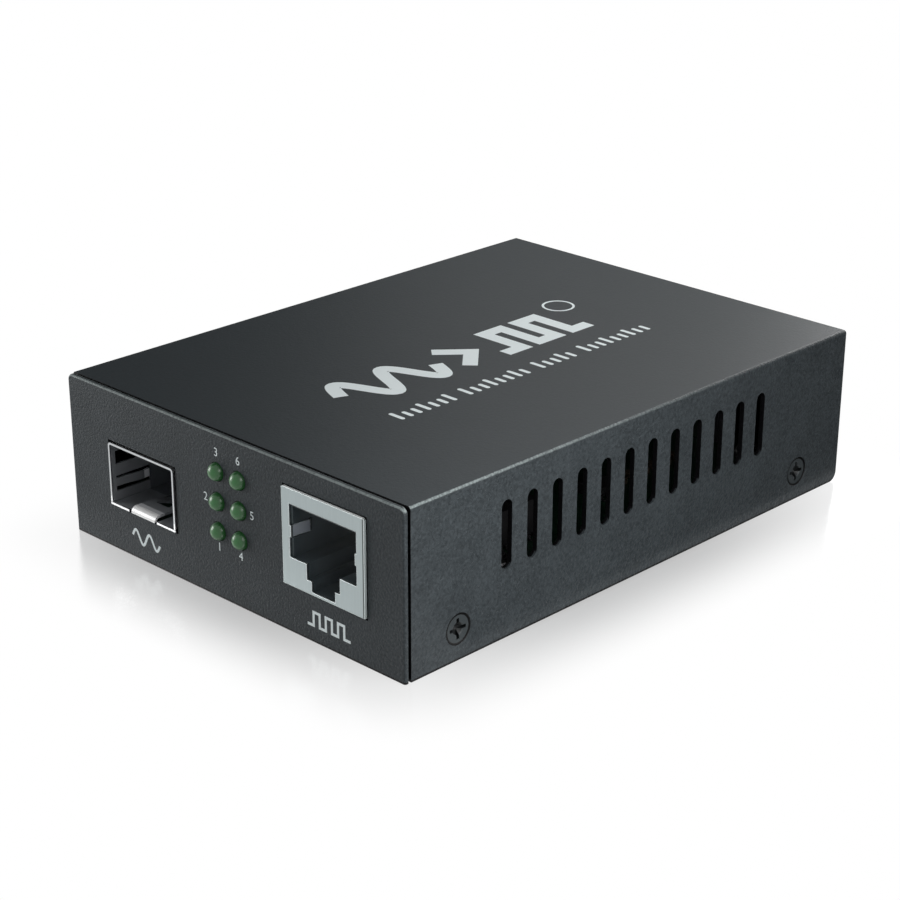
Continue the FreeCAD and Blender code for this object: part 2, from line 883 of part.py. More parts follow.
def socket_contact_path(row):
    # a contact that leans into the slot and leaves at the back or the front of the socket
    slot_low = board_top + socket_slot_rise
    slot_high = slot_low + socket_slot_height
    half = socket_contact_thickness / 2
    tip_y = socket_front + socket_contact_setback
    bow_y = socket_front + socket_slot_depth / 2
    foot_z = board_top + half
    if row == "lower":
        lies = slot_low + half + socket_contact_gap
        bow = socket_contact_bow
        dip = -socket_contact_dip
        heel_y = socket_front + socket_slot_depth + socket_heel_gap
        toe_y = heel_y - socket_foot
    else:
        lies = slot_high - half - socket_contact_gap
        bow = -socket_contact_bow
        dip = socket_contact_dip
        heel_y = socket_back - socket_heel_margin
        toe_y = heel_y + socket_foot
    return [
        (tip_y, lies, 0),
        (bow_y, lies + bow, socket_bow_radius),
        (heel_y, lies + dip, socket_heel_radius),
        (heel_y, foot_z, socket_foot_radius),
        (toe_y, foot_z, 0),
    ]


def socket_contact_xs(row):
    # the upper row stands half a pitch to the right of the lower one
    quarter = socket_contact_pitch / 4
    shift = -quarter if row == "lower" else quarter
    return [cage_x + shift + step for step in even_steps(contacts_per_row_count, socket_contact_pitch)]


def socket_contact(row, x, margin):
    half = socket_contact_width / 2 + margin
    thickness = socket_contact_thickness + 2 * margin
    return bent_strip(socket_contact_path(row), thickness, facing_x(x - half), RIGHT * (2 * half))


def make_socket_contacts():
    contacts = []
    for row in ("lower", "upper"):
        for x in socket_contact_xs(row):
            contacts.append(socket_contact(row, x, 0))
    return Part.makeCompound(contacts)


def make_socket_body():
    half = socket_width / 2
    half_slot = socket_slot_width / 2
    top = board_top + socket_height
    body = block(cage_x - half, cage_x + half, socket_front, socket_back, board_top, top)
    slot_low = board_top + socket_slot_rise
    slot_high = slot_low + socket_slot_height
    slot_end = socket_front + socket_slot_depth
    slot = block(cage_x - half_slot, cage_x + half_slot, socket_front - overrun, slot_end, slot_low, slot_high)
    lead_in = block(cage_x - half - overrun, cage_x + half + overrun, socket_front - overrun,
                    socket_front + socket_lead_in, slot_high + socket_slot_lip, top + overrun)
    under = block(cage_x - half_slot, cage_x + half_slot, slot_end - socket_foot, socket_back + overrun,
                  board_top - overrun, board_top + socket_contact_thickness + 2 * socket_contact_gap)
    cuts = [slot, lead_in, under]
    for row in ("lower", "upper"):
        for x in socket_contact_xs(row):
            cuts.append(socket_contact(row, x, socket_contact_gap))
    return body.cut(cuts)


def jack_opening(inset):
    # the plug's outline: a wide body with a stepped neck for the latch below it
    half = jack_opening_width / 2 - inset
    neck = jack_neck_width / 2
    stem = jack_stem_width / 2
    top = board_top + jack_opening_bottom + jack_opening_height - inset
    shoulder = board_top + jack_opening_bottom
    step = board_top + jack_neck_bottom
    low = board_top + jack_stem_bottom
    left_half = [(half, top), (half, shoulder), (neck, shoulder), (neck, step), (stem, step), (stem, low)]
    corners = [(jack_x - reach, z, 0) for reach, z in left_half]
    corners += [(jack_x + reach, z, 0) for reach, z in reversed(left_half)]
    return corners


def make_jack_shield():
    # folded metal skin: face, top, sides and back, open underneath behind the face
    bottom = board_top + jack_skirt_gap
    shell = block(jack_left, jack_right, jack_front, jack_back, bottom, jack_top)
    hollow = block(jack_left + jack_sheet, jack_right - jack_sheet, jack_front + jack_sheet,
                   jack_back - jack_sheet, board_top - overrun, jack_top - jack_sheet)
    upper_edges = []
    for edge in shell.Edges:
        middle = edge.BoundBox.Center
        at_side = abs(abs(middle.x - jack_x) - jack_width / 2) < tiny
        if edge.BoundBox.YLength > jack_sheet and at_side and middle.z > bottom + tiny:
            upper_edges.append(edge)
    shell = shell.makeFillet(jack_sheet, upper_edges)
    opening = rounded_face(jack_opening(0), facing_y(jack_front - overrun))
    shell = shell.cut([hollow, opening.extrude(BACK * (2 * overrun))])
    pieces = [shell]
    low = board_top + jack_tab_bottom
    for side in (-1, 1):
        edge_x = jack_x + side * (jack_opening_width / 2 - jack_sheet / 2)
        path = [
            (edge_x, jack_front, 0),
            (edge_x, jack_front + jack_tab_bend_start, jack_tab_radius),
            (edge_x - side * jack_tab_bend, jack_front + jack_tab_length, 0),
        ]
        pieces.append(bent_strip(path, jack_sheet, facing_z(low), UP * jack_tab_height))
    for x, y in jack_leg_places():
        pieces.append(box_at(x, y, jack_sheet, jack_leg_width, tail_end, bottom + jack_sheet))
    return join(pieces)


def make_jack_wires():
    # up from the board behind the plug, forward over it, then down and back into its path
    front = jack_front + jack_sheet + wire_front_setback
    path = [
        (wire_rear_y, tail_end, 0),
        (wire_rear_y, wire_top, wire_bend),
        (front, wire_top, wire_tip_bend),
        (front + wire_reach, wire_top - wire_drop, 0),
    ]
    wires = []
    for x in wire_xs():
        start = facing_x(x - wire_width / 2)
        wires.append(bent_strip(path, wire_thickness, start, RIGHT * wire_width))
    return Part.makeCompound(wires)


def make_jack_housing():
    gap = housing_gap
    front = jack_front + jack_sheet + gap
    back = jack_back - jack_sheet - gap
    left = jack_left + jack_sheet + gap
    right = jack_right - jack_sheet - gap
    top = jack_top - jack_sheet - gap
    cavity_end = front + housing_cavity_depth
    body = block(left, right, front, back, board_top, top)
    cavity = rounded_face(jack_opening(housing_cavity_inset), facing_y(front - overrun))
    cuts = [cavity.extrude(BACK * (housing_cavity_depth + overrun))]
    tab_low = board_top + jack_tab_bottom - housing_pocket_gap
    tab_high = board_top + jack_tab_bottom + jack_tab_height + housing_pocket_gap
    pocket_half = jack_opening_width / 2 + housing_pocket_gap
    cuts.append(block(jack_x - pocket_half, jack_x + pocket_half, front - overrun,
                      jack_front + jack_tab_length + 2 * housing_pocket_gap, tab_low, tab_high))
    ceiling = board_top + jack_opening_bottom + jack_opening_height - housing_cavity_inset
    reach = wire_thickness / 2 + wire_groove_gap
    half = wire_width / 2 + wire_groove_gap
    groove_front = jack_front + jack_sheet + wire_front_setback - wire_thickness
    for x in wire_xs():
        cuts.append(block(x - half, x + half, groove_front, cavity_end, ceiling - overrun, wire_top + reach))
        cuts.append(block(x - half, x + half, cavity_end - overrun, wire_rear_y + reach,
                          wire_top - reach, wire_top + reach))
        cuts.append(block(x - half, x + half, wire_rear_y - reach, wire_rear_y + reach,
                          board_top - overrun, wire_top + reach))
    return body.cut(cuts)


def make_light(x, z):
    # a round lens with its base flange, along Y
    ball = Part.makeSphere(light_radius, Vector(x, light_centre_y, z))
    stem = Part.makeCylinder(light_radius, light_body_length, Vector(x, light_centre_y, z), BACK)
    flange_start = Vector(x, light_body_end - light_flange_length, z)
    flange = Part.makeCylinder(light_flange_radius, light_flange_length, flange_start, BACK)
    return join([ball, stem, flange])


def make_light_leads():
    leads = []
    for x, y, z in lead_places():
        path = [
            (light_body_end, z, 0),
            (y, z, lead_bend),
            (y, tail_end, 0),
        ]
        leads.append(bent_strip(path, lead_size, facing_x(x - lead_size / 2), RIGHT * lead_size))
    return Part.makeCompound(leads)


def make_light_holder():
    left = min(light_columns) - light_flange_radius - holder_side_wall
    right = max(light_columns) + light_flange_radius + holder_side_wall
    top = max(light_zs) + light_flange_radius + holder_top_wall
    body = block(left, right, holder_front, holder_back, board_top, top)
    bore_start = holder_front - overrun
    seat_start = light_body_end - light_flange_length - holder_bore_gap
    cuts = []
    for x in light_columns:
        for z in light_zs:
            bore = Vector(x, bore_start, z)
            seat = Vector(x, seat_start, z)
            cuts.append(Part.makeCylinder(light_radius + holder_bore_gap, holder_back - bore_start, bore, BACK))
            cuts.append(Part.makeCylinder(light_flange_radius + holder_bore_gap,
                                          holder_back + overrun - seat_start, seat, BACK))
    return body.cut(cuts)


def make_inlet_body():
    half = inlet_width / 2
    body = block(inlet_x - half, inlet_x + half, inlet_back, inlet_face, board_top, board_top + inlet_height)
    upper = []
    for edge in body.Edges:
        if edge.BoundBox.YLength > inlet_depth / 2 and edge.BoundBox.Center.z > inlet_axis_z:
            upper.append(edge)
    body = body.makeFillet(inlet_corner_radius, upper)
    mouth_start = Vector(inlet_x, inlet_face - inlet_mouth_depth, inlet_axis_z)
    mouth = Part.makeCylinder(inlet_mouth_radius, inlet_mouth_depth + overrun, mouth_start, BACK)
    bore_start = Vector(inlet_x, inlet_back - overrun, inlet_axis_z)
    bore_radius = inlet_pin_radius - inlet_pin_shoulder + inlet_pin_gap
    pin_bore = Part.makeCylinder(bore_radius, inlet_back_wall + 2 * overrun, bore_start, BACK)
    grow = 2 * inlet_pin_gap
    tail_slot = box_at(inlet_x, inlet_leaf_tail_y, inlet_tail_width + grow, inlet_tail_thickness + grow,
                       board_top - overrun, inlet_axis_z)
    leaf_half = inlet_spring_width / 2 + inlet_pin_gap
    leaf_low = inlet_axis_z - inlet_mouth_radius - inlet_spring_thickness - inlet_pin_gap
    leaf_room = block(inlet_x - leaf_half, inlet_x + leaf_half, inlet_leaf_tail_y - inlet_tail_thickness / 2,
                      inlet_leaf_end + inlet_pin_gap, leaf_low, inlet_axis_z - inlet_mouth_radius / 2)
    return body.cut([mouth, pin_bore, tail_slot, leaf_room])


def make_inlet_pin():
    # centre pin: its shoulder meets the mouth's bottom, a thinner shank passes the wall behind it,
    # and a flat tail goes down through the board behind the body
    tip = inlet_face - inlet_pin_setback
    shoulder_y = inlet_face - inlet_mouth_depth
    pin_start = Vector(inlet_x, shoulder_y, inlet_axis_z)
    pin = Part.makeCylinder(inlet_pin_radius, tip - shoulder_y, pin_start, BACK)
    rim = [edge for edge in pin.Edges if edge.BoundBox.YMin > tip - tiny]
    pin = pin.makeFillet(inlet_pin_round, rim)
    shank_start = Vector(inlet_x, inlet_back - inlet_tail_thickness, inlet_axis_z)
    shank = Part.makeCylinder(inlet_pin_radius - inlet_pin_shoulder,
                              inlet_back_wall + inlet_tail_thickness, shank_start, BACK)
    tail = box_at(inlet_x, inlet_pin_tail_y, inlet_tail_width, inlet_tail_thickness,
                  tail_end, inlet_axis_z + inlet_pin_radius)
    return join([pin, shank, tail])


def make_inlet_spring():
    # leaf under the plug's sleeve, with its own tail through the board
    top = inlet_axis_z - inlet_mouth_radius
    half = inlet_spring_width / 2
    leaf = block(inlet_x - half, inlet_x + half, inlet_leaf_tail_y, inlet_leaf_end,
                 top - inlet_spring_thickness, top)
    tail = box_at(inlet_x, inlet_leaf_tail_y, inlet_tail_width, inlet_tail_thickness, tail_end, top)
    return join([leaf, tail])


def chip_leg(u, body_half, width, side, along_x):
    # one gull-wing leg, from the body's edge out and down to the board
    foot_z = board_top + leg_thickness / 2
    path = [
        (body_half - leg_root, board_top + leg_rise, 0),
        (body_half + leg_shoulder, board_top + leg_rise, leg_bend),
        (body_half + leg_ankle, foot_z, leg_bend),
        (body_half + leg_reach, foot_z, 0),
    ]
    path = [(side * v, z, radius) for v, z, radius in path]
    if along_x:
        return bent_strip(path, leg_thickness, facing_x(u - width / 2), RIGHT * width)
    return bent_strip(path, leg_thickness, facing_y(u - width / 2), BACK * width)


def chip_body(width, length, height):
    return box_at(0, 0, width, length, board_top + chip_lift, board_top + chip_lift + height)


def make_main_chip():
    half = main_chip_size / 2
    pieces = [chip_body(main_chip_size, main_chip_size, main_chip_height)]
    for u in even_steps(main_chip_leg_count, main_chip_leg_pitch):
        for side in (-1, 1):
            pieces.append(chip_leg(u, half, main_chip_leg_width, side, True))
            pieces.append(chip_leg(u, half, main_chip_leg_width, side, False))
    chip = join(pieces)
    chip.translate(Vector(main_chip_x, board_middle_y + main_chip_behind_middle, 0))
    return chip


def make_transformer():
    # a row of legs on each side, the right one clear of the board's screw
    half = transformer_width / 2
    pieces = [chip_body(transformer_width, transformer_length, transformer_height)]
    for v in even_steps(transformer_leg_count, transformer_leg_pitch):
        for side in (-1, 1):
            pieces.append(chip_leg(v, half, transformer_leg_width, side, False))
    chip = join(pieces)
    right_end = board_screw_x - board_screw_head / 2 - transformer_screw_gap
    y = jack_back + transformer_gap_behind_jack + transformer_length / 2
    chip.translate(Vector(right_end - leg_reach - half, y, 0))
    return chip


def make_memory_chip():
    half = memory_width / 2
    pieces = [chip_body(memory_width, memory_length, memory_height)]
    for v in even_steps(memory_leg_count, memory_leg_pitch):
        for side in (-1, 1):
            pieces.append(chip_leg(v, half, memory_leg_width, side, False))
    chip = join(pieces)
    chip.translate(Vector(memory_x, board_middle_y + memory_behind_middle, 0))
    return chip


def make_regulator():
    # three legs towards the front and one wide tab at the back
    half = regulator_length / 2
    pieces = [chip_body(regulator_width, regulator_length, regulator_height)]
    for u in even_steps(regulator_leg_count, regulator_leg_pitch):
        pieces.append(chip_leg(u, half, regulator_leg_width, -1, True))
    pieces.append(chip_leg(0, half, regulator_leg_pitch + regulator_leg_width, 1, True))
    chip = join(pieces)
    chip.translate(Vector(regulator_x, board_rear - regulator_rear_setback, 0))
    return chip


def crystal_layer(grow, height):
    half_x = crystal_length / 2 + grow
    half_y = crystal_width / 2 + grow
    outline = oblong_face(crystal_x - half_x, crystal_x + half_x, crystal_y - half_y, crystal_y + half_y,
                          half_y, facing_z(board_top))
    return outline.extrude(UP * height)


def make_crystal():
    # oval can on a thin rim, with two wires through the board
    pieces = [crystal_layer(crystal_rim, crystal_rim_height), crystal_layer(0, crystal_height)]
    for step in (-crystal_tail_spread, crystal_tail_spread):
        start = Vector(crystal_x + step, crystal_y, tail_end)
        pieces.append(Part.makeCylinder(crystal_tail_radius, board_top + tail_into_body - tail_end, start, UP))
    return join(pieces)


def make_cans():
    # upright electrolytic capacitors with a rolled groove near the foot
    cans = []
    corners = [
        (0, 0, 0),
        (can_radius, 0, can_foot_round),
        (can_radius, can_groove_height, 0),
        (can_radius - can_groove, can_groove_height + can_groove, can_groove_round),
        (can_radius, can_groove_height + can_groove * 2, 0),
        (can_radius, can_height, can_rim_round),
        (0, can_height, 0),
    ]
    for x, y in can_places():
        can = rounded_face(corners, facing_y(0)).revolve(ORIGIN, UP, 360)
        can.translate(Vector(x, y, board_top))
        pieces = [can]
        for step in (-can_tail_spread, can_tail_spread):
            start = Vector(x + step, y, tail_end)
            pieces.append(Part.makeCylinder(can_tail_radius, board_top + tail_into_body - tail_end, start, UP))
        cans.append(join(pieces))
    return Part.makeCompound(cans)


def make_coil():
    # power coil with square flanges and a narrower waist
    waist = coil_size - 2 * coil_waist
    y = board_rear - coil_rear_setback
    top = board_top + coil_height
    low = box_at(coil_x, y, coil_size, coil_size, board_top, board_top + coil_flange_height)
    middle = box_at(coil_x, y, waist, waist, board_top, top)
    high = box_at(coil_x, y, coil_size, coil_size, top - coil_flange_height, top)
    return join([low, middle, high])


def make_resistors():
    pieces = []
    top = board_top + resistor_height
    for row in range(resistor_row_count):
        y = board_middle_y - resistor_before_middle - row * (resistor_length + resistor_row_gap)
        for step in even_steps(resistor_column_count, resistor_pitch):
            pieces.append(box_at(resistor_x + step, y, resistor_width, resistor_length, board_top, top))
    return Part.makeCompound(pieces)


def make_capacitors():
    pieces = []
    top = board_top + capacitor_height
    for i in range(capacitor_count):
        y = board_middle_y + capacitor_behind_middle + i * capacitor_pitch
        pieces.append(box_at(capacitor_x, y, capacitor_length, capacitor_width, board_top, top))
    return Part.makeCompound(pieces)


def make_parts():
    parts = {
        "base_tray": make_tray(),
        "top_cover": make_cover(),
        "cover_screws": make_cover_screws(),
        "board_standoffs": make_standoffs(),
        "circuit_board": make_board(),
        "board_screws": make_board_screws(),
        "fibre_cage_shell": make_cage_shell(),
        "fibre_cage_floor": make_cage_floor(),
        "module_socket": make_socket_body(),
        "module_socket_contacts": make_socket_contacts(),
        "jack_shield": make_jack_shield(),
        "jack_housing": make_jack_housing(),
        "jack_contacts": make_jack_wires(),
        "light_leads": make_light_leads(),
        "light_holder": make_light_holder(),
        "power_inlet_body": make_inlet_body(),
        "power_inlet_pin": make_inlet_pin(),
        "power_inlet_spring": make_inlet_spring(),
        "converter_chip": make_main_chip(),
        "line_transformer": make_transformer(),
        "memory_chip": make_memory_chip(),
        "voltage_regulator": make_regulator(),
        "crystal": make_crystal(),
        "filter_capacitors": make_cans(),
        "power_coil": make_coil(),
        "chip_resistors": make_resistors(),
        "chip_capacitors": make_capacitors(),
    }
    for column, x in enumerate(light_columns):
        for row, z in enumerate(light_zs):
            number = column * light_row_count + row + 1
            parts["status_light_{}".format(number)] = make_light(x, z)
    return parts


def main():
    os.makedirs("parts", exist_ok=True)
    for name, shape in make_parts().items():
        shape.exportStep("parts/{}.step".format(name))
        solids = len(shape.Solids)
        print("{:24} {:3} solids  {:9.2f} mm3  valid {}".format(name, solids, shape.Volume, shape.isValid()))


main()
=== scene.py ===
import bpy
import math
from mathutils import Matrix, Vector


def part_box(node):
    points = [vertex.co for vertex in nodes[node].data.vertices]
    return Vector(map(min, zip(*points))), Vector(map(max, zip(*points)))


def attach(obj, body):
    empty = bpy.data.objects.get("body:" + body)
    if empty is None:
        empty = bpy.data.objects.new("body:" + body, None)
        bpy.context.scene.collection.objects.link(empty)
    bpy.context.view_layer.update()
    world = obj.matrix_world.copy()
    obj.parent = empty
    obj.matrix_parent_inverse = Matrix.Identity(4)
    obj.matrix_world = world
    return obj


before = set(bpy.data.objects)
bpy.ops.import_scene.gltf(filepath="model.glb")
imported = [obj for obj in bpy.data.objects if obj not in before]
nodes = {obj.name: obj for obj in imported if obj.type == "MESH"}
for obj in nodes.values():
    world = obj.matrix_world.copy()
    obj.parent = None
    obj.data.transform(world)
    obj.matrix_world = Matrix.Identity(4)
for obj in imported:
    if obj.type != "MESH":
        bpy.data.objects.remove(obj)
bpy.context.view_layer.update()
print("frame loaded:", len(nodes), "nodes")

mm = 0.001
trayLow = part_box("base_tray")[0]
coverLow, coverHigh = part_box("top_cover")
cageLow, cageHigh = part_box("fibre_cage_shell")
jackLow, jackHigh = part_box("jack_shield")
frontY = trayLow.y
topZ = coverHigh.z
sideX = coverHigh.x
cageX = (cageLow.x + cageHigh.x) / 2
jackX = (jackLow.x + jackHigh.x) / 2
screwLow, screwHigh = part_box("cover_screws")
screwRadius = (screwHigh.z - screwLow.z) / 2
screwZ = (screwLow.z + screwHigh.z) / 2
screwYs = (screwLow.y + screwRadius, screwHigh.y - screwRadius)


# camera, fitted to the edges of the case in the photograph
viewer = {
    "place": (213.32 * mm, -222.60 * mm, 135.68 * mm),
    "azimuth": 43.58,
    "elevation": 23.248,
    "roll": 0.429,
    "sensor": 36.0,
    "lens": 87.06,
    "shift": (-0.0274, 0.0380),
    "nearest": 10 * mm,
}


def makeCamera(v):
    data = bpy.data.cameras.new("viewCamera")
    data.lens = v["lens"]
    data.sensor_width = v["sensor"]
    data.clip_start = v["nearest"]
    data.shift_x, data.shift_y = v["shift"]
    camera = bpy.data.objects.new("viewCamera", data)
    turn = math.radians(v["azimuth"])
    tilt = math.radians(v["elevation"])
    ahead = Vector((-math.sin(turn) * math.cos(tilt), math.cos(turn) * math.cos(tilt), -math.sin(tilt)))
    turned = ahead.to_track_quat("-Z", "Y").to_matrix() @ Matrix.Rotation(math.radians(v["roll"]), 3, "Z")
    camera.matrix_world = Matrix.Translation(Vector(v["place"])) @ turned.to_4x4()
    bpy.context.collection.objects.link(camera)
    bpy.context.scene.camera = camera


makeCamera(viewer)
bpy.context.scene.view_settings.view_transform = "Standard"


# nodes, materials and groups
def addNode(tree, kind, inputs=None, **settings):
    node = tree.nodes.new(kind)
    for key, value in settings.items():
        setattr(node, key, value)
    for key, value in (inputs or {}).items():
        if isinstance(value, bpy.types.NodeSocket):
            tree.links.new(value, node.inputs[key])
        else:
            node.inputs[key].default_value = value
    return node


def calculate(tree, operation, first, second=0.0, clamp=False):
    node = addNode(tree, "ShaderNodeMath", {0: first, 1: second}, operation=operation, use_clamp=clamp)
    return node.outputs[0]


def combine(tree, operation, first, second=(0, 0, 0), output="Vector"):
    node = addNode(tree, "ShaderNodeVectorMath", {0: first, 1: second}, operation=operation)
    return node.outputs[output]


def blendColor(tree, factor, first, second):
    node = addNode(tree, "ShaderNodeMix", {0: factor, 6: first, 7: second}, data_type="RGBA")
    return node.outputs[2]


def opaque(color):
    return (color[0], color[1], color[2], 1.0)


def startGroup(name, inputs, outputs):
    group = bpy.data.node_groups.new(name, "ShaderNodeTree")
    for label, kind, value in inputs:
        socket = group.interface.new_socket(name=label, in_out="INPUT", socket_type=kind)
        socket.default_value = value
    for label in outputs:
        group.interface.new_socket(name=label, in_out="OUTPUT", socket_type="NodeSocketFloat")
    given = group.nodes.new("NodeGroupInput").outputs
    result = group.nodes.new("NodeGroupOutput").inputs
    return group, given, result


def useGroup(tree, group, inputs):
    return addNode(tree, "ShaderNodeGroup", inputs, node_tree=group).outputs


def makeGrainGroup():
    # fine rounded grain with a slow change of tone under it
    group, given, result = startGroup(
        "fineGrain",
        [("Size", "NodeSocketFloat", 0.3 * mm), ("Patch", "NodeSocketFloat", 8 * mm)],
        ["Grain", "Drift"])
    place = addNode(group, "ShaderNodeTexCoord").outputs["Object"]
    small = calculate(group, "DIVIDE", 1.0, given["Size"])
    large = calculate(group, "DIVIDE", 1.0, given["Patch"])
    grain = addNode(group, "ShaderNodeTexNoise", {"Vector": place, "Scale": small, "Detail": 2.0,
                                                  "Roughness": 0.6})
    drift = addNode(group, "ShaderNodeTexNoise", {"Vector": place, "Scale": large, "Detail": 1.0})
    group.links.new(grain.outputs[0], result["Grain"])
    group.links.new(drift.outputs[0], result["Drift"])
    return group


def makeLineGroup():
    # long fine lines, as rolled or drawn metal has, along one axis of the piece
    group, given, result = startGroup(
        "rolledLines",
        [("Size", "NodeSocketFloat", 0.2 * mm), ("Stretch", "NodeSocketVector", (1.0, 1.0, 0.04))],
        ["Lines"])
    place = addNode(group, "ShaderNodeTexCoord").outputs["Object"]
    long = combine(group, "MULTIPLY", place, given["Stretch"])
    fine = calculate(group, "DIVIDE", 1.0, given["Size"])
    lines = addNode(group, "ShaderNodeTexNoise", {"Vector": long, "Scale": fine, "Detail": 3.0})
    group.links.new(lines.outputs[0], result["Lines"])
    return group


bevelSamples = 6


def makeEdgeGroup():
    # 1 on sharp outer and inner edges, falling to 0 a radius away from them
    group, given, result = startGroup(
        "edgeMask",
        [("Radius", "NodeSocketFloat", 0.2 * mm), ("Gain", "NodeSocketFloat", 6.0)],
        ["Mask"])
    soft = addNode(group, "ShaderNodeBevel", {"Radius": given["Radius"]}, samples=bevelSamples)
    true = addNode(group, "ShaderNodeNewGeometry")
    same = combine(group, "DOT_PRODUCT", soft.outputs[0], true.outputs["Normal"], "Value")
    apart = calculate(group, "SUBTRACT", 1.0, same)
    group.links.new(calculate(group, "MULTIPLY", apart, given["Gain"], True), result["Mask"])
    return group


def makeRangeGroup():
    # 1 where the value lies between two limits
    group, given, result = startGroup(
        "between",
        [("Value", "NodeSocketFloat", 0.0), ("Low", "NodeSocketFloat", 0.0),
         ("High", "NodeSocketFloat", 1.0)],
        ["Mask"])
    above = calculate(group, "GREATER_THAN", given["Value"], given["Low"])
    below = calculate(group, "LESS_THAN", given["Value"], given["High"])
    group.links.new(calculate(group, "MULTIPLY", above, below), result["Mask"])
    return group


def makeBoxGroup():
    # 1 where a place lies inside a box
    group, given, result = startGroup(
        "insideBox",
        [("Place", "NodeSocketVector", (0, 0, 0)), ("Low", "NodeSocketVector", (0, 0, 0)),
         ("High", "NodeSocketVector", (0, 0, 0))],
        ["Mask"])
    over = combine(group, "SUBTRACT", given["Place"], given["Low"])
    under = combine(group, "SUBTRACT", given["High"], given["Place"])
    least = combine(group, "MINIMUM", over, under)
    part = addNode(group, "ShaderNodeSeparateXYZ", {0: least}).outputs
    smallest = calculate(group, "MINIMUM", calculate(group, "MINIMUM", part["X"], part["Y"]), part["Z"])
    group.links.new(calculate(group, "GREATER_THAN", smallest, 0.0), result["Mask"])
    return group


def makeRingGroup():
    # 1 in a ring round an axis along X
    group, given, result = startGroup(
        "ringMask",
        [("Place", "NodeSocketVector", (0, 0, 0)), ("Centre", "NodeSocketVector", (0, 0, 0)),
         ("Inner", "NodeSocketFloat", 0.0), ("Outer", "NodeSocketFloat", 1.0)],
        ["Mask"])
    apart = combine(group, "SUBTRACT", given["Place"], given["Centre"])
    flat = combine(group, "MULTIPLY", apart, (0, 1, 1))
    radius = combine(group, "LENGTH", flat, output="Value")
    outside = calculate(group, "GREATER_THAN", radius, given["Inner"])
    within = calculate(group, "LESS_THAN", radius, given["Outer"])
    group.links.new(calculate(group, "MULTIPLY", outside, within), result["Mask"])
    return group


grainGroup = makeGrainGroup()
boxGroup = makeBoxGroup()
ringGroup = makeRingGroup()
lineGroup = makeLineGroup()
edgeGroup = makeEdgeGroup()
rangeGroup = makeRangeGroup()


def maskBetween(tree, value, low, high):
    return useGroup(tree, rangeGroup, {"Value": value, "Low": low, "High": high})["Mask"]


def maskAny(tree, group, cases):
    # 1 where any one of the group's uses gives 1
    total = None
    for inputs in cases:
        mask = useGroup(tree, group, inputs)["Mask"]
        total = mask if total is None else calculate(tree, "MAXIMUM", total, mask)
    return total


def maskBoxes(tree, place, boxes):
    # 1 in any of the boxes, each given by its low and its high corner
    return maskAny(tree, boxGroup, [{"Place": place, "Low": low, "High": high} for low, high in boxes])


def maskRings(tree, place, inner, outer):
    # 1 in a ring round each of the cover's screws
    return maskAny(tree, ringGroup, [{"Place": place, "Centre": (0, y, screwZ), "Inner": inner,
                                      "Outer": outer} for y in screwYs])


def seenByViewer(tree):
    # 1 on what the camera sees, also when it is mirrored or seen through something
    path = addNode(tree, "ShaderNodeLightPath").outputs
    seen = calculate(tree, "ADD", path["Is Camera Ray"], path["Is Glossy Ray"])
    return calculate(tree, "ADD", seen, path["Is Transmission Ray"], True)


def newMaterial(name, look):
    material = bpy.data.materials.new(name)
    material.use_nodes = True
    tree = material.node_tree
    shader = tree.nodes["Principled BSDF"]
    for key in ("Roughness", "Metallic", "Specular IOR Level", "IOR", "Coat Weight", "Coat Roughness",
                "Transmission Weight", "Subsurface Weight", "Subsurface Scale", "Emission Strength"):
        if key in look:
            shader.inputs[key].default_value = look[key]
    material.diffuse_color = opaque(look["color"])
    return material, tree, shader


# powder coat of the tray and the cover, with a painted highlight where it turns over an upper edge
coat = {
    "color": (0.0215, 0.0262, 0.0290),
    "paleColor": (0.047, 0.056, 0.0615),
    # colour of the painted highlight on the upper edges
    "edgeLightShadeColor": (0.23, 0.265, 0.265),
    "Roughness": 0.48,
    "Specular IOR Level": 0.16,
    "grain": 0.4 * mm,
    "grainPatch": 7 * mm,
    "bump": 0.14 * mm,
    "topGrain": 0.15,
    "topFacing": 0.95,
    "patchShare": 0.2,
    "contrast": 3.0,
    "highlightGain": 4.5,
    "sideEdgeStart": 1.2,
    "frontEdgeStart": 0.7,
    "edgeDepth": 1.2 * mm,
    "edgeLeast": 0.45,
    "edgeFade": (-42 * mm, 22 * mm),
    # a ring of painted shade round each cover screw
    "screwLap": 0.3 * mm,
    "screwGap": 0.1 * mm,
    "paintedShadeColor": (0.002, 0.002, 0.0025),
}
beyond = 1.0  # past the case on every side
# boxes of painted shade on the coat, the same on both sides
coatShade = {
    "ventFoot": ((sideX - 1.0 * mm, coverLow.y + 2 * mm, 10.2 * mm),
                 (sideX - 0.3 * mm, coverHigh.y - 2 * mm, 11 * mm)),
    "ventWalls": ((sideX - 1.0 * mm, coverLow.y + 2 * mm, 10.9 * mm),
                  (sideX - 0.02 * mm, coverHigh.y - 2 * mm, 20.6 * mm)),
    "inside": ((-beyond, frontY + 0.85 * mm, 0.5 * mm),
               (sideX - 0.75 * mm, coverHigh.y - 0.9 * mm, topZ - 0.75 * mm)),
    "portWalls": ((-beyond, frontY + 0.03 * mm, 5 * mm), (sideX - 3 * mm, frontY + 1 * mm, topZ - 1.5 * mm)),
    "seam": ((-beyond, frontY + 0.76 * mm, -beyond), (beyond, frontY + 1.12 * mm, topZ - 0.05 * mm)),
    "foot": ((-beyond, -beyond, -beyond), (beyond, beyond, 0.3 * mm)),
}


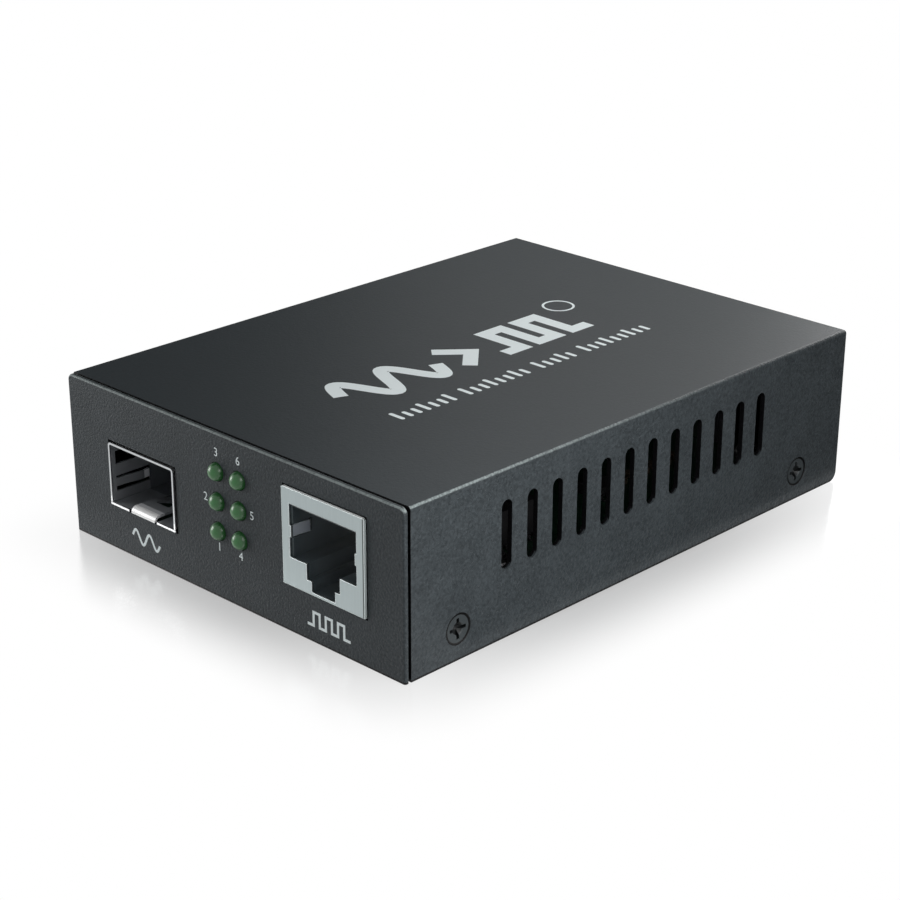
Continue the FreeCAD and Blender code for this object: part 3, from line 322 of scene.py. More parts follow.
def makeCoat(look):
    material, tree, shader = newMaterial("blackCoat", look)
    grain = useGroup(tree, grainGroup, {"Size": look["grain"], "Patch": look["grainPatch"]})
    geometry = addNode(tree, "ShaderNodeNewGeometry")
    facing = addNode(tree, "ShaderNodeSeparateXYZ", {0: geometry.outputs["Normal"]}).outputs
    place = addNode(tree, "ShaderNodeTexCoord").outputs["Object"]
    part = addNode(tree, "ShaderNodeSeparateXYZ", {0: place}).outputs
    level = calculate(tree, "GREATER_THAN", facing["Z"], look["topFacing"])
    smoother = calculate(tree, "SUBTRACT", 1.0, calculate(tree, "MULTIPLY", level, 1.0 - look["topGrain"]))
    tone = calculate(tree, "ADD", calculate(tree, "MULTIPLY", grain["Grain"], 1.0 - look["patchShare"]),
                     calculate(tree, "MULTIPLY", grain["Drift"], look["patchShare"]))
    tone = calculate(tree, "MULTIPLY", calculate(tree, "SUBTRACT", tone, 0.5), smoother)
    tone = calculate(tree, "ADD", calculate(tree, "MULTIPLY", tone, look["contrast"]), 0.5, True)
    color = blendColor(tree, tone, opaque(look["color"]), opaque(look["paleColor"]))
    # painted highlight where the sheet turns over an upper edge, less and less along the side
    sideHighlight = calculate(tree, "ABSOLUTE", calculate(tree, "MULTIPLY", facing["X"], facing["Z"]))
    sideHighlight = calculate(tree, "MULTIPLY", sideHighlight, look["highlightGain"])
    sideHighlight = calculate(tree, "SUBTRACT", sideHighlight, look["sideEdgeStart"], True)
    frontHighlight = calculate(tree, "ABSOLUTE", calculate(tree, "MULTIPLY", facing["Y"], facing["Z"]))
    frontHighlight = calculate(tree, "MULTIPLY", frontHighlight, look["highlightGain"])
    frontHighlight = calculate(tree, "SUBTRACT", frontHighlight, look["frontEdgeStart"], True)
    fadeStart, fadeEnd = look["edgeFade"]
    sideHighlightFade = addNode(tree, "ShaderNodeMapRange", {0: part["Y"], 1: fadeStart, 2: fadeEnd, 3: 1.0, 4: 0.0})
    paintedHighlight = calculate(tree, "MULTIPLY", sideHighlight, sideHighlightFade.outputs[0])
    paintedHighlight = calculate(tree, "MAXIMUM", paintedHighlight, frontHighlight)
    upper = calculate(tree, "GREATER_THAN", part["Z"], topZ - look["edgeDepth"])
    paintedHighlight = calculate(tree, "MULTIPLY", paintedHighlight, upper)
    paintedHighlight = calculate(tree, "MULTIPLY", paintedHighlight, calculate(tree, "ADD", tone, look["edgeLeast"]), True)
    color = blendColor(tree, paintedHighlight, color, opaque(look["edgeLightShadeColor"]))
    # painted shade: the cut walls, the seam, the inside and a ring round each screw are coloured dark, and so
    # is the line where the case meets the ground, as a painted contact shadow
    across = calculate(tree, "ABSOLUTE", part["X"])
    mirrored = addNode(tree, "ShaderNodeCombineXYZ", {0: across, 1: part["Y"], 2: part["Z"]}).outputs[0]
    dark = calculate(tree, "MAXIMUM", maskBoxes(tree, mirrored, coatShade.values()),
                     maskRings(tree, place, screwRadius - look["screwLap"], screwRadius + look["screwGap"]))
    color = blendColor(tree, dark, color, opaque(look["paintedShadeColor"]))
    tree.links.new(color, shader.inputs["Base Color"])
    height = calculate(tree, "MULTIPLY", grain["Grain"], smoother)
    bump = addNode(tree, "ShaderNodeBump", {"Height": height, "Strength": 1.0, "Distance": look["bump"]})
    tree.links.new(bump.outputs[0], shader.inputs["Normal"])
    return material


def zone(low, high, color, metallic):
    return {"low": low, "high": high, "color": color, "metallic": metallic}


# boxes with a look of their own on a sheet, most of them painted light and shade: the box that holds them,
# their color and how metallic they are
thin = 0.05 * mm
tabLow = (jackX - 7 * mm, jackLow.y + 0.4 * mm, jackLow.z)
tabHigh = (jackX + 7 * mm, frontY + 12 * mm, jackHigh.z - 0.5 * mm)
tabBend = 2.8 * mm  # from the front of an earthing tab to where it turns away from the light
cageInLow = (cageLow.x + 0.1 * mm, cageLow.y + 0.3 * mm, cageLow.z)
cageInHigh = (cageHigh.x - 0.1 * mm, cageHigh.y, cageHigh.z - 0.1 * mm)
tongueLow = (cageX - 2.75 * mm, cageLow.y - thin, 7.2 * mm)
metalZones = {
    "shieldZones": {
        # painted highlights on the top and the right side of the proud face, and painted shade in the crease
        # beside it
        "upperBrim": zone((jackLow.x, jackLow.y + 0.03 * mm, jackHigh.z - thin),
                          (jackHigh.x, frontY, jackHigh.z + thin), (0.95, 0.98, 0.98), 0.0),
        "rightBrim": zone((jackHigh.x - thin, jackLow.y + 0.03 * mm, jackLow.z),
                          (jackHigh.x + thin, frontY, jackHigh.z), (0.46, 0.52, 0.52), 0.0),
        "crease": zone((jackHigh.x - 0.3 * mm, jackLow.y - thin, jackLow.z),
                       (jackHigh.x - 0.1 * mm, jackLow.y + thin, jackHigh.z), (0.07, 0.08, 0.08), 0.6),
        # painted light on the front of the earthing tab, painted shade on its rear
        "tab": zone(tabLow, tabHigh, (0.46, 0.50, 0.56), 0.2),
        "tabRear": zone((tabLow[0], tabLow[1] + tabBend, tabLow[2]), tabHigh, (0.10, 0.11, 0.125), 0.2),
        # painted shadow where the right side passes behind the front plate
        "sideShadow": zone((jackHigh.x - thin, frontY + 0.8 * mm, -beyond),
                        (jackHigh.x + thin, jackHigh.y + thin, beyond), (0.012, 0.013, 0.014), 0.0),
    },
    "cageZones": {
        # painted light on the cage's inner walls, painted shade deeper in
        "inside": zone(cageInLow, cageInHigh, (0.32, 0.335, 0.355), 0.45),
        "deep": zone((cageInLow[0], cageLow.y + 7 * mm, cageLow.z), cageInHigh, (0.13, 0.14, 0.155), 0.45),
        # painted highlights on the end of a spring finger, on the tongue's top and on its nose
        "fingerEnd": zone((cageInLow[0], cageLow.y + 5.7 * mm, 9.6 * mm),
                          (cageLow.x + 2 * mm, cageLow.y + 6.8 * mm, 11 * mm), (0.85, 0.86, 0.88), 0.2),
        "tongueTop": zone(tongueLow, (cageX + 2.75 * mm, cageLow.y + 1.9 * mm, 9 * mm),
                          (0.62, 0.63, 0.65), 0.5),
        "nose": zone(tongueLow, (cageX + 2.75 * mm, cageLow.y + 1.1 * mm, 9 * mm), (0.98, 0.98, 0.98), 0.6),
        "rim": zone((cageLow.x, cageLow.y - thin, 8.4 * mm), (cageHigh.x, cageLow.y + thin, cageHigh.z),
                    (0.50, 0.52, 0.53), 1.0),
    },
}

# bare and plated metals
metals = {
    "shieldMetal": {"color": (0.32, 0.365, 0.37), "paleColor": (0.37, 0.42, 0.425), "Metallic": 1.0,
                    "Roughness": 0.36, "lines": 0.25 * mm, "stretch": (1.0, 1.0, 0.05), "bump": 0.002 * mm,
                    "edge": 0.12 * mm, "edgeLightShadeColor": (0.90, 0.95, 0.95), "zones": "shieldZones",
                    "rounding": 0.18 * mm},
    "cageMetal": {"color": (0.70, 0.71, 0.72), "paleColor": (0.80, 0.81, 0.82), "Metallic": 1.0,
                  "Roughness": 0.30, "lines": 0.3 * mm, "stretch": (1.0, 0.04, 1.0), "bump": 0.002 * mm,
                  "edge": 0.13 * mm, "edgeLightShadeColor": (0.10, 0.10, 0.105), "zones": "cageZones"},
    "tinWire": {"color": (0.60, 0.60, 0.60), "paleColor": (0.72, 0.72, 0.72), "Metallic": 1.0,
                "Roughness": 0.34, "lines": 0.2 * mm, "stretch": (1.0, 0.1, 1.0), "bump": 0.002 * mm,
                "edge": 0.05 * mm, "edgeLightShadeColor": (0.8, 0.8, 0.8)},
    "goldPlate": {"color": (0.75, 0.55, 0.22), "paleColor": (0.86, 0.68, 0.33), "Metallic": 1.0,
                  "Roughness": 0.28, "lines": 0.2 * mm, "stretch": (1.0, 0.1, 1.0), "bump": 0.001 * mm,
                  "edge": 0.04 * mm, "edgeLightShadeColor": (0.92, 0.78, 0.45)},
    "nickelPin": {"color": (0.66, 0.65, 0.63), "paleColor": (0.74, 0.73, 0.71), "Metallic": 1.0,
                  "Roughness": 0.2, "lines": 0.15 * mm, "stretch": (1.0, 0.08, 1.0), "bump": 0.001 * mm,
                  "edge": 0.08 * mm, "edgeLightShadeColor": (0.85, 0.84, 0.82)},
    "turnedBrass": {"color": (0.62, 0.46, 0.20), "paleColor": (0.72, 0.56, 0.28), "Metallic": 1.0,
                    "Roughness": 0.32, "lines": 0.12 * mm, "stretch": (0.08, 0.08, 1.0), "bump": 0.002 * mm,
                    "edge": 0.1 * mm, "edgeLightShadeColor": (0.85, 0.72, 0.42)},
    "zincScrew": {"color": (0.10, 0.10, 0.105), "paleColor": (0.16, 0.16, 0.165), "Metallic": 1.0,
                  "Roughness": 0.38, "lines": 0.25 * mm, "stretch": (1.0, 1.0, 0.3), "bump": 0.002 * mm,
                  "edge": 0.1 * mm, "edgeLightShadeColor": (0.20, 0.20, 0.21)},
    "drawnCan": {"color": (0.58, 0.58, 0.57), "paleColor": (0.68, 0.68, 0.67), "Metallic": 1.0,
                 "Roughness": 0.3, "lines": 0.3 * mm, "stretch": (1.0, 1.0, 0.08), "bump": 0.002 * mm,
                 "edge": 0.15 * mm, "edgeLightShadeColor": (0.8, 0.8, 0.79)},
}
# painted light and shade along a metal's edges: how fast it gains on the metal's own tone
metalEdgeLightGain = 5.0  # how fast the edge tone of a metal gains on its own tone


def makeMetal(name, look):
    material, tree, shader = newMaterial(name, look)
    lines = useGroup(tree, lineGroup, {"Size": look["lines"], "Stretch": look["stretch"]})
    edge = useGroup(tree, edgeGroup, {"Radius": look["edge"], "Gain": metalEdgeLightGain})["Mask"]
    color = blendColor(tree, lines["Lines"], opaque(look["color"]), opaque(look["paleColor"]))
    # boxes of painted light and shade
    if "zones" in look:
        place = addNode(tree, "ShaderNodeTexCoord").outputs["Object"]
        metallic = 1.0
        for patch in metalZones[look["zones"]].values():
            mask = maskBoxes(tree, place, [(patch["low"], patch["high"])])
            color = blendColor(tree, mask, color, opaque(patch["color"]))
            loss = calculate(tree, "MULTIPLY", mask, 1.0 - patch["metallic"])
            metallic = calculate(tree, "SUBTRACT", metallic, loss, True)
        tree.links.new(metallic, shader.inputs["Metallic"])
    # painted highlight along the edges, painted shade along the cage's
    color = blendColor(tree, edge, color, opaque(look["edgeLightShadeColor"]))
    tree.links.new(color, shader.inputs["Base Color"])
    bump = addNode(tree, "ShaderNodeBump", {"Height": lines["Lines"], "Strength": 1.0,
                                            "Distance": look["bump"]})
    if "rounding" in look:
        # edges catch the light as if they were a little rounded
        turned = addNode(tree, "ShaderNodeBevel", {"Radius": look["rounding"]}, samples=bevelSamples)
        tree.links.new(turned.outputs[0], bump.inputs["Normal"])
    tree.links.new(bump.outputs[0], shader.inputs["Normal"])
    return material


# plastics, mouldings and painted small parts
mouldings = {
    "blackPlastic": {"color": (0.014, 0.015, 0.017), "paleColor": (0.022, 0.024, 0.027), "Roughness": 0.42,
                     "grain": 0.15 * mm, "patch": 4 * mm, "bump": 0.008 * mm, "edge": 0.08 * mm,
                     "edgeLightShadeColor": (0.05, 0.052, 0.056)},
    "jackPlastic": {"color": (0.042, 0.055, 0.062), "paleColor": (0.056, 0.072, 0.080), "Roughness": 0.5,
                    "grain": 0.15 * mm, "patch": 4 * mm, "bump": 0.008 * mm, "edge": 0.05 * mm,
                    "edgeLightShadeColor": (0.045, 0.055, 0.06), "deepPaintedLightColor": (0.30, 0.33, 0.35),
                    "deep": (jackLow.y + 1 * mm, jackLow.y + 11 * mm)},
    "blackScrew": {"color": (0.024, 0.029, 0.031), "paleColor": (0.048, 0.056, 0.060), "Roughness": 0.45,
                   "Specular IOR Level": 0.25, "grain": 0.3 * mm, "patch": 3 * mm, "bump": 0.03 * mm,
                   "edge": 0.06 * mm, "edgeLightShadeColor": (0.08, 0.09, 0.092), "ring": 0.22 * mm,
                   "recess": 0.14 * mm, "recessShade": 0.8},
    "chipBlack": {"color": (0.007, 0.007, 0.008), "paleColor": (0.012, 0.012, 0.013), "Roughness": 0.6,
                  "Specular IOR Level": 0.25, "grain": 0.1 * mm, "patch": 5 * mm, "bump": 0.01 * mm,
                  "edge": 0.08 * mm, "edgeLightShadeColor": (0.03, 0.03, 0.033)},
    "coilGrey": {"color": (0.06, 0.06, 0.064), "paleColor": (0.10, 0.10, 0.105), "Roughness": 0.6,
                 "grain": 0.18 * mm, "patch": 3 * mm, "bump": 0.015 * mm, "edge": 0.1 * mm,
                 "edgeLightShadeColor": (0.16, 0.16, 0.165)},
    "canSleeve": {"color": (0.012, 0.016, 0.030), "paleColor": (0.02, 0.026, 0.044), "Roughness": 0.25,
                  "grain": 0.5 * mm, "patch": 6 * mm, "bump": 0.006 * mm, "edge": 0.1 * mm,
                  "edgeLightShadeColor": (0.05, 0.06, 0.08)},
    "glazedDark": {"color": (0.02, 0.02, 0.022), "paleColor": (0.035, 0.035, 0.038), "Roughness": 0.22,
                   "grain": 0.1 * mm, "patch": 2 * mm, "bump": 0.003 * mm, "edge": 0.08 * mm,
                   "edgeLightShadeColor": (0.5, 0.5, 0.5)},
    "bareCeramic": {"color": (0.035, 0.025, 0.017), "paleColor": (0.055, 0.04, 0.027), "Roughness": 0.5,
                    "grain": 0.1 * mm, "patch": 2 * mm, "bump": 0.004 * mm, "edge": 0.08 * mm,
                    "edgeLightShadeColor": (0.08, 0.064, 0.048)},
    "printWhite": {"color": (0.84, 0.93, 0.94), "paleColor": (0.90, 0.97, 0.98), "Roughness": 0.5,
                   "Specular IOR Level": 0.3, "grain": 0.2 * mm, "patch": 3 * mm, "bump": 0.004 * mm,
                   "edge": 0.02 * mm, "edgeLightShadeColor": (0.80, 0.90, 0.91)},
}
# painted highlight along a moulding's edges: how fast it gains on the moulding's own tone
mouldingEdgeLightGain = 3.0  # as for the metals
tonePatches = 0.5  # share of the slow change in the tone of a moulding


def makeMoulding(name, look):
    material, tree, shader = newMaterial(name, look)
    grain = useGroup(tree, grainGroup, {"Size": look["grain"], "Patch": look["patch"]})
    edge = useGroup(tree, edgeGroup, {"Radius": look["edge"], "Gain": mouldingEdgeLightGain})["Mask"]
    tone = calculate(tree, "ADD", calculate(tree, "MULTIPLY", grain["Grain"], 1.0 - tonePatches),
                     calculate(tree, "MULTIPLY", grain["Drift"], tonePatches))
    color = blendColor(tree, tone, opaque(look["color"]), opaque(look["paleColor"]))
    # painted highlight along the edges
    color = blendColor(tree, edge, color, opaque(look["edgeLightShadeColor"]))
    place = addNode(tree, "ShaderNodeTexCoord").outputs["Object"]
    # painted light, rising deeper into the jack where its walls would be in shade
    if "deep" in look:
        part = addNode(tree, "ShaderNodeSeparateXYZ", {0: place}).outputs
        depth = addNode(tree, "ShaderNodeMapRange", {0: part["Y"], 1: look["deep"][0], 2: look["deep"][1]})
        color = blendColor(tree, depth.outputs[0], color, opaque(look["deepPaintedLightColor"]))
    # painted shade: black in a ring round each screw head, and darker on the sunk part of the head
    if "ring" in look:
        gap = maskRings(tree, place, screwRadius - look["ring"], screwRadius + mm)
        across = addNode(tree, "ShaderNodeSeparateXYZ", {0: place}).outputs["X"]
        sunk = calculate(tree, "LESS_THAN", calculate(tree, "ABSOLUTE", across), screwHigh.x - look["recess"])
        color = blendColor(tree, calculate(tree, "MULTIPLY", sunk, look["recessShade"]), color, (0, 0, 0, 1))
        color = blendColor(tree, gap, color, (0, 0, 0, 1))
    tree.links.new(color, shader.inputs["Base Color"])
    bump = addNode(tree, "ShaderNodeBump", {"Height": grain["Grain"], "Strength": 1.0,
                                            "Distance": look["bump"]})
    tree.links.new(bump.outputs[0], shader.inputs["Normal"])
    return material


# tinted lens of the status lights, darker towards its base
lens = {
    "color": (0.005, 0.026, 0.008),
    "domeColor": (0.013, 0.140, 0.024),
    "Roughness": 0.4,
    "Specular IOR Level": 0.15,
    "Coat Weight": 0.85,
    "Coat Roughness": 0.25,
    "Emission Strength": 0.05,
    "glow": (0.06, 0.40, 0.07),
    "domeDepth": 1.2 * mm,
    "cloud": 0.5 * mm,
    "cloudPatch": 2 * mm,
    "cloudShare": 0.25,
}


def makeLens(look):
    material, tree, shader = newMaterial("greenLens", look)
    place = addNode(tree, "ShaderNodeSeparateXYZ",
                    {0: addNode(tree, "ShaderNodeTexCoord").outputs["Object"]}).outputs
    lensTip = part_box("status_light_1")[0].y
    depth = calculate(tree, "SUBTRACT", place["Y"], lensTip)
    depth = calculate(tree, "DIVIDE", depth, look["domeDepth"], True)
    cloud = useGroup(tree, grainGroup, {"Size": look["cloud"], "Patch": look["cloudPatch"]})
    shade = calculate(tree, "MULTIPLY", cloud["Grain"], look["cloudShare"])
    shade = calculate(tree, "ADD", depth, shade, True)
    color = blendColor(tree, shade, opaque(look["domeColor"]), opaque(look["color"]))
    tree.links.new(color, shader.inputs["Base Color"])
    shader.inputs["Emission Color"].default_value = opaque(look["glow"])
    return material


# solder mask with the tracks showing through it
board = {
    "color": (0.004, 0.020, 0.010),
    "trackColor": (0.007, 0.034, 0.016),
    "copperEdge": (0.05, 0.042, 0.02),
    "Roughness": 0.3,
    "track": 1.3 * mm,
    "trackSpread": 0.6,
    "trackWidth": (0.28, 0.42),
    "bump": 0.02 * mm,
    "edge": 0.12 * mm,
    "wear": 4.0,
}


def makeBoard(look):
    material, tree, shader = newMaterial("boardGreen", look)
    place = addNode(tree, "ShaderNodeTexCoord").outputs["Object"]
    cells = addNode(tree, "ShaderNodeTexVoronoi",
                    {"Vector": place, "Scale": 1.0 / look["track"], "Randomness": look["trackSpread"]},
                    distance="CHEBYCHEV", feature="F1")
    track = maskBetween(tree, cells.outputs["Distance"], *look["trackWidth"])
    color = blendColor(tree, track, opaque(look["color"]), opaque(look["trackColor"]))
    edge = useGroup(tree, edgeGroup, {"Radius": look["edge"], "Gain": look["wear"]})["Mask"]
    color = blendColor(tree, edge, color, opaque(look["copperEdge"]))
    tree.links.new(color, shader.inputs["Base Color"])
    bump = addNode(tree, "ShaderNodeBump", {"Height": track, "Strength": 1.0, "Distance": look["bump"]})
    tree.links.new(bump.outputs[0], shader.inputs["Normal"])
    return material


finishes = {"blackCoat": makeCoat(coat), "greenLens": makeLens(lens), "boardGreen": makeBoard(board)}
for label, look in metals.items():
    finishes[label] = makeMetal(label, look)
for label, look in mouldings.items():
    finishes[label] = makeMoulding(label, look)

nodeFinishes = {
    "base_tray": "blackCoat", "top_cover": "blackCoat", "cover_screws": "blackScrew",
    "board_standoffs": "turnedBrass", "circuit_board": "boardGreen", "board_screws": "zincScrew",
    "fibre_cage_shell": "cageMetal", "fibre_cage_floor": "cageMetal", "module_socket": "blackPlastic",
    "module_socket_contacts": "goldPlate", "jack_shield": "shieldMetal", "jack_housing": "jackPlastic",
    "jack_contacts": "goldPlate", "light_leads": "tinWire", "light_holder": "blackPlastic",
    "power_inlet_body": "blackPlastic", "power_inlet_pin": "nickelPin", "power_inlet_spring": "nickelPin",
    "converter_chip": "chipBlack", "line_transformer": "chipBlack", "memory_chip": "chipBlack",
    "voltage_regulator": "chipBlack", "crystal": "drawnCan", "filter_capacitors": "canSleeve",
    "power_coil": "coilGrey", "chip_resistors": "glazedDark", "chip_capacitors": "bareCeramic",
}
for number in range(1, 7):
    nodeFinishes["status_light_{}".format(number)] = "greenLens"
for label, finish in nodeFinishes.items():
    for materialSlot in nodes[label].material_slots:
        materialSlot.material = finishes[finish]
print("materials set:", len(finishes))


# print, as thin flat pieces on the coat
ink = {"thickness": 0.012 * mm, "finish": "printWhite", "endSteps": 10, "digitHeight": 0.7}


def arcPoints(centre, radius, start, end, steps):
    points = []
    for i in range(steps + 1):
        turn = math.radians(start + (end - start) * i / steps)
        points.append((centre[0] + radius * math.cos(turn), centre[1] + radius * math.sin(turn)))
    return points


def thickLine(points, width):
    # outline of a line of even width, mitred at its corners
    half = width / 2
    left = []
    right = []
    for i, point in enumerate(points):
        here = Vector(point)
        before = Vector(points[i - 1]) if i > 0 else here
        after = Vector(points[i + 1]) if i < len(points) - 1 else here
        coming = (here - before).normalized() if i > 0 else (after - here).normalized()
        going = (after - here).normalized() if i < len(points) - 1 else coming
        across = Vector((-coming.y - going.y, coming.x + going.x))
        across *= half / max(1 + coming.dot(going), 0.2)
        left.append(tuple(here + across))
        right.append(tuple(here - across))
    return left + right[::-1]


def roundedBar(low, high, middle, height):
    # a bar with round ends, from one place to another along its row
    radius = height / 2
    right = arcPoints((high - radius, middle), radius, -90, 90, ink["endSteps"])
    left = arcPoints((low + radius, middle), radius, 90, 270, ink["endSteps"])
    return right + left


def inkPiece(name, outlines, place):
    # flat shapes given as (along, up) in metres, laid on a face of the case
    curve = bpy.data.curves.new(name, "CURVE")
    curve.dimensions = "2D"
    curve.fill_mode = "BOTH"
    curve.extrude = ink["thickness"] / 2
    for outline in outlines:
        spline = curve.splines.new("POLY")
        spline.points.add(len(outline) - 1)
        for point, (u, v) in zip(spline.points, outline):
            point.co = (u, v, 0.0, 1.0)
        spline.use_cyclic_u = True
    return layInk(name, curve, place)


def inkNumber(name, text, height, place):
    # a plain number, set level with its middle on the place
    curve = bpy.data.curves.new(name, "FONT")
    curve.body = text
    curve.align_x = "CENTER"
    curve.align_y = "CENTER"
    curve.size = height / ink["digitHeight"]
    curve.extrude = ink["thickness"] / 2
    return layInk(name, curve, place)


def layInk(name, curve, place):
    shape = bpy.data.objects.new(name + "_line", curve)
    bpy.context.collection.objects.link(shape)
    bpy.context.view_layer.update()
    mesh = bpy.data.meshes.new_from_object(shape.evaluated_get(bpy.context.evaluated_depsgraph_get()))
    bpy.data.objects.remove(shape)
    mesh.transform(place)
    piece = bpy.data.objects.new(name, mesh)
    bpy.context.collection.objects.link(piece)
    piece.data.materials.clear()
    piece.data.materials.append(finishes[ink["finish"]])
    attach(piece, "root")
    return piece


def onFront(x, z):
    # reads from left to right on the front plate
    lift = ink["thickness"] / 2
    return Matrix(((1, 0, 0, x), (0, 0, -1, frontY - lift), (0, 1, 0, z), (0, 0, 0, 1)))


def onTop(x, y):
    # reads from front to back on the cover, with its upper side to the left
    lift = ink["thickness"] / 2
    return Matrix(((0, -1, 0, x), (1, 0, 0, y), (0, 0, 1, topZ + lift), (0, 0, 0, 1)))


def wavePoints(low, high, rise, turns, steps):
    points = []
    for i in range(steps + 1):
        share = i / steps
        points.append((low + (high - low) * share, rise * math.sin(share * turns * 2 * math.pi)))
    return points


def pulsePoints(low, high, rise, pulses):
    # a square wave between two places along its row
    step = (high - low) / (2 * pulses + 1)
    points = [(low, -rise)]
    u = low + step
    for i in range(pulses):
        points += [(u, -rise), (u, rise), (u + step, rise), (u + step, -rise)]
        u += 2 * step
    points.append((high, -rise))
    return points


# small signs under the two ports: a wave for light, pulses for copper
portSigns = {"fibreX": -18.35 * mm, "jackX": 20.5 * mm, "z": 3.5 * mm, "rise": 1.0 * mm, "width": 0.42 * mm,
             "fibreHalf": 3.1 * mm, "jackHalf": 4.2 * mm, "turns": 2, "steps": 48, "pulses": 3}
sign = portSigns
half = sign["fibreHalf"]
wave = thickLine(wavePoints(-half, half, sign["rise"], sign["turns"], sign["steps"]), sign["width"])
inkPiece("fibre_sign", [wave], onFront(sign["fibreX"], sign["z"]))
half = sign["jackHalf"]
pulses = thickLine(pulsePoints(-half, half, sign["rise"], sign["pulses"]), sign["width"])
inkPiece("copper_sign", [pulses], onFront(sign["jackX"], sign["z"]))

# plain numbers round the lights
lightNumbers = {"height": 1.25 * mm, "above": 2.85 * mm, "below": 2.45 * mm, "beside": 2.6 * mm}
for number in range(1, 7):
    low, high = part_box("status_light_{}".format(number))
    x = (low.x + high.x) / 2
    z = (low.z + high.z) / 2
    rank = (number - 1) % 3
    if rank == 0:
        z -= lightNumbers["below"]
    elif rank == 2:
        z += lightNumbers["above"]
    else:
        x += lightNumbers["beside"] * (-1 if number < 4 else 1)
    inkNumber("light_number_{}".format(number), str(number), lightNumbers["height"], onFront(x, z))

# large sign on the cover: light comes in as a wave and leaves as pulses
coverSign = {"x": 0.5 * mm, "start": -26.6 * mm, "end": 22.3 * mm, "rise": 4.0 * mm, "width": 2.3 * mm,
             "gap": 3.2 * mm, "arrow": 4.4 * mm, "turns": 2, "steps": 72, "pulses": 2}
sign = coverSign
middle = (sign["start"] + sign["end"]) / 2
reach = sign["arrow"] / 2
rise = sign["rise"]
waveEnd = middle - reach - sign["gap"]
wave = thickLine(wavePoints(sign["start"], waveEnd, rise, sign["turns"], sign["steps"]), sign["width"])
arrow = thickLine([(middle - reach, rise), (middle + reach, 0.0), (middle - reach, -rise)], sign["width"])
pulseStart = middle + reach + sign["gap"]
pulses = thickLine(pulsePoints(pulseStart, sign["end"], rise, sign["pulses"]), sign["width"])
inkPiece("cover_sign", [wave, arrow, pulses], onTop(sign["x"], 0.0))

# row of upright strokes beside it, in four groups
coverRow = {"x": 11.9 * mm, "start": -26.3 * mm, "pitch": 1.73 * mm, "gap": 1.6 * mm, "width": 0.7 * mm,
            "groups": (7, 8, 5, 9), "tall": 3.0 * mm, "low": 2.2 * mm, "tallEvery": 3}
row = coverRow
strokes = []
along = row["start"]
for count in row["groups"]:
    for i in range(count):
        height = row["tall"] if i % row["tallEvery"] == 0 else row["low"]
        bar = roundedBar(-height / 2, height / 2, 0.0, row["width"])
        strokes.append([(along - v, u + (height - row["low"]) / 2) for u, v in bar])
        along += row["pitch"]
    along += row["gap"]
inkPiece("cover_row", strokes, onTop(row["x"], 0.0))

# small plain ring at the far end of the large sign
coverRing = {"x": -4.6 * mm, "y": 25.4 * mm, "radius": 2.45 * mm, "width": 0.4 * mm, "points": 60}
last = coverRing["points"] - 1
ring = []
for radius in (coverRing["radius"] + coverRing["width"] / 2, coverRing["radius"] - coverRing["width"] / 2):
    ring.append(arcPoints((0, 0), radius, 0, 360 * last / coverRing["points"], last))
inkPiece("cover_ring", ring, onTop(coverRing["x"], coverRing["y"]))
print("print laid on")


# pale floor that keeps a soft shadow and a mirror image that fades away from the object
floorLook = {"size": 3.0, "depth": 0.1 * mm, "color": (0.80, 0.80, 0.80), "plain": 0.21, "mirror": 0.425,
             "white": 1.17, "spots": ((-8 * mm, -50 * mm, 0), (38 * mm, -3 * mm, 0)), "near": 8 * mm,
             "far": 72 * mm, "spread": 16.5 * mm, "grain": 0.12 * mm, "bump": 0.012 * mm}


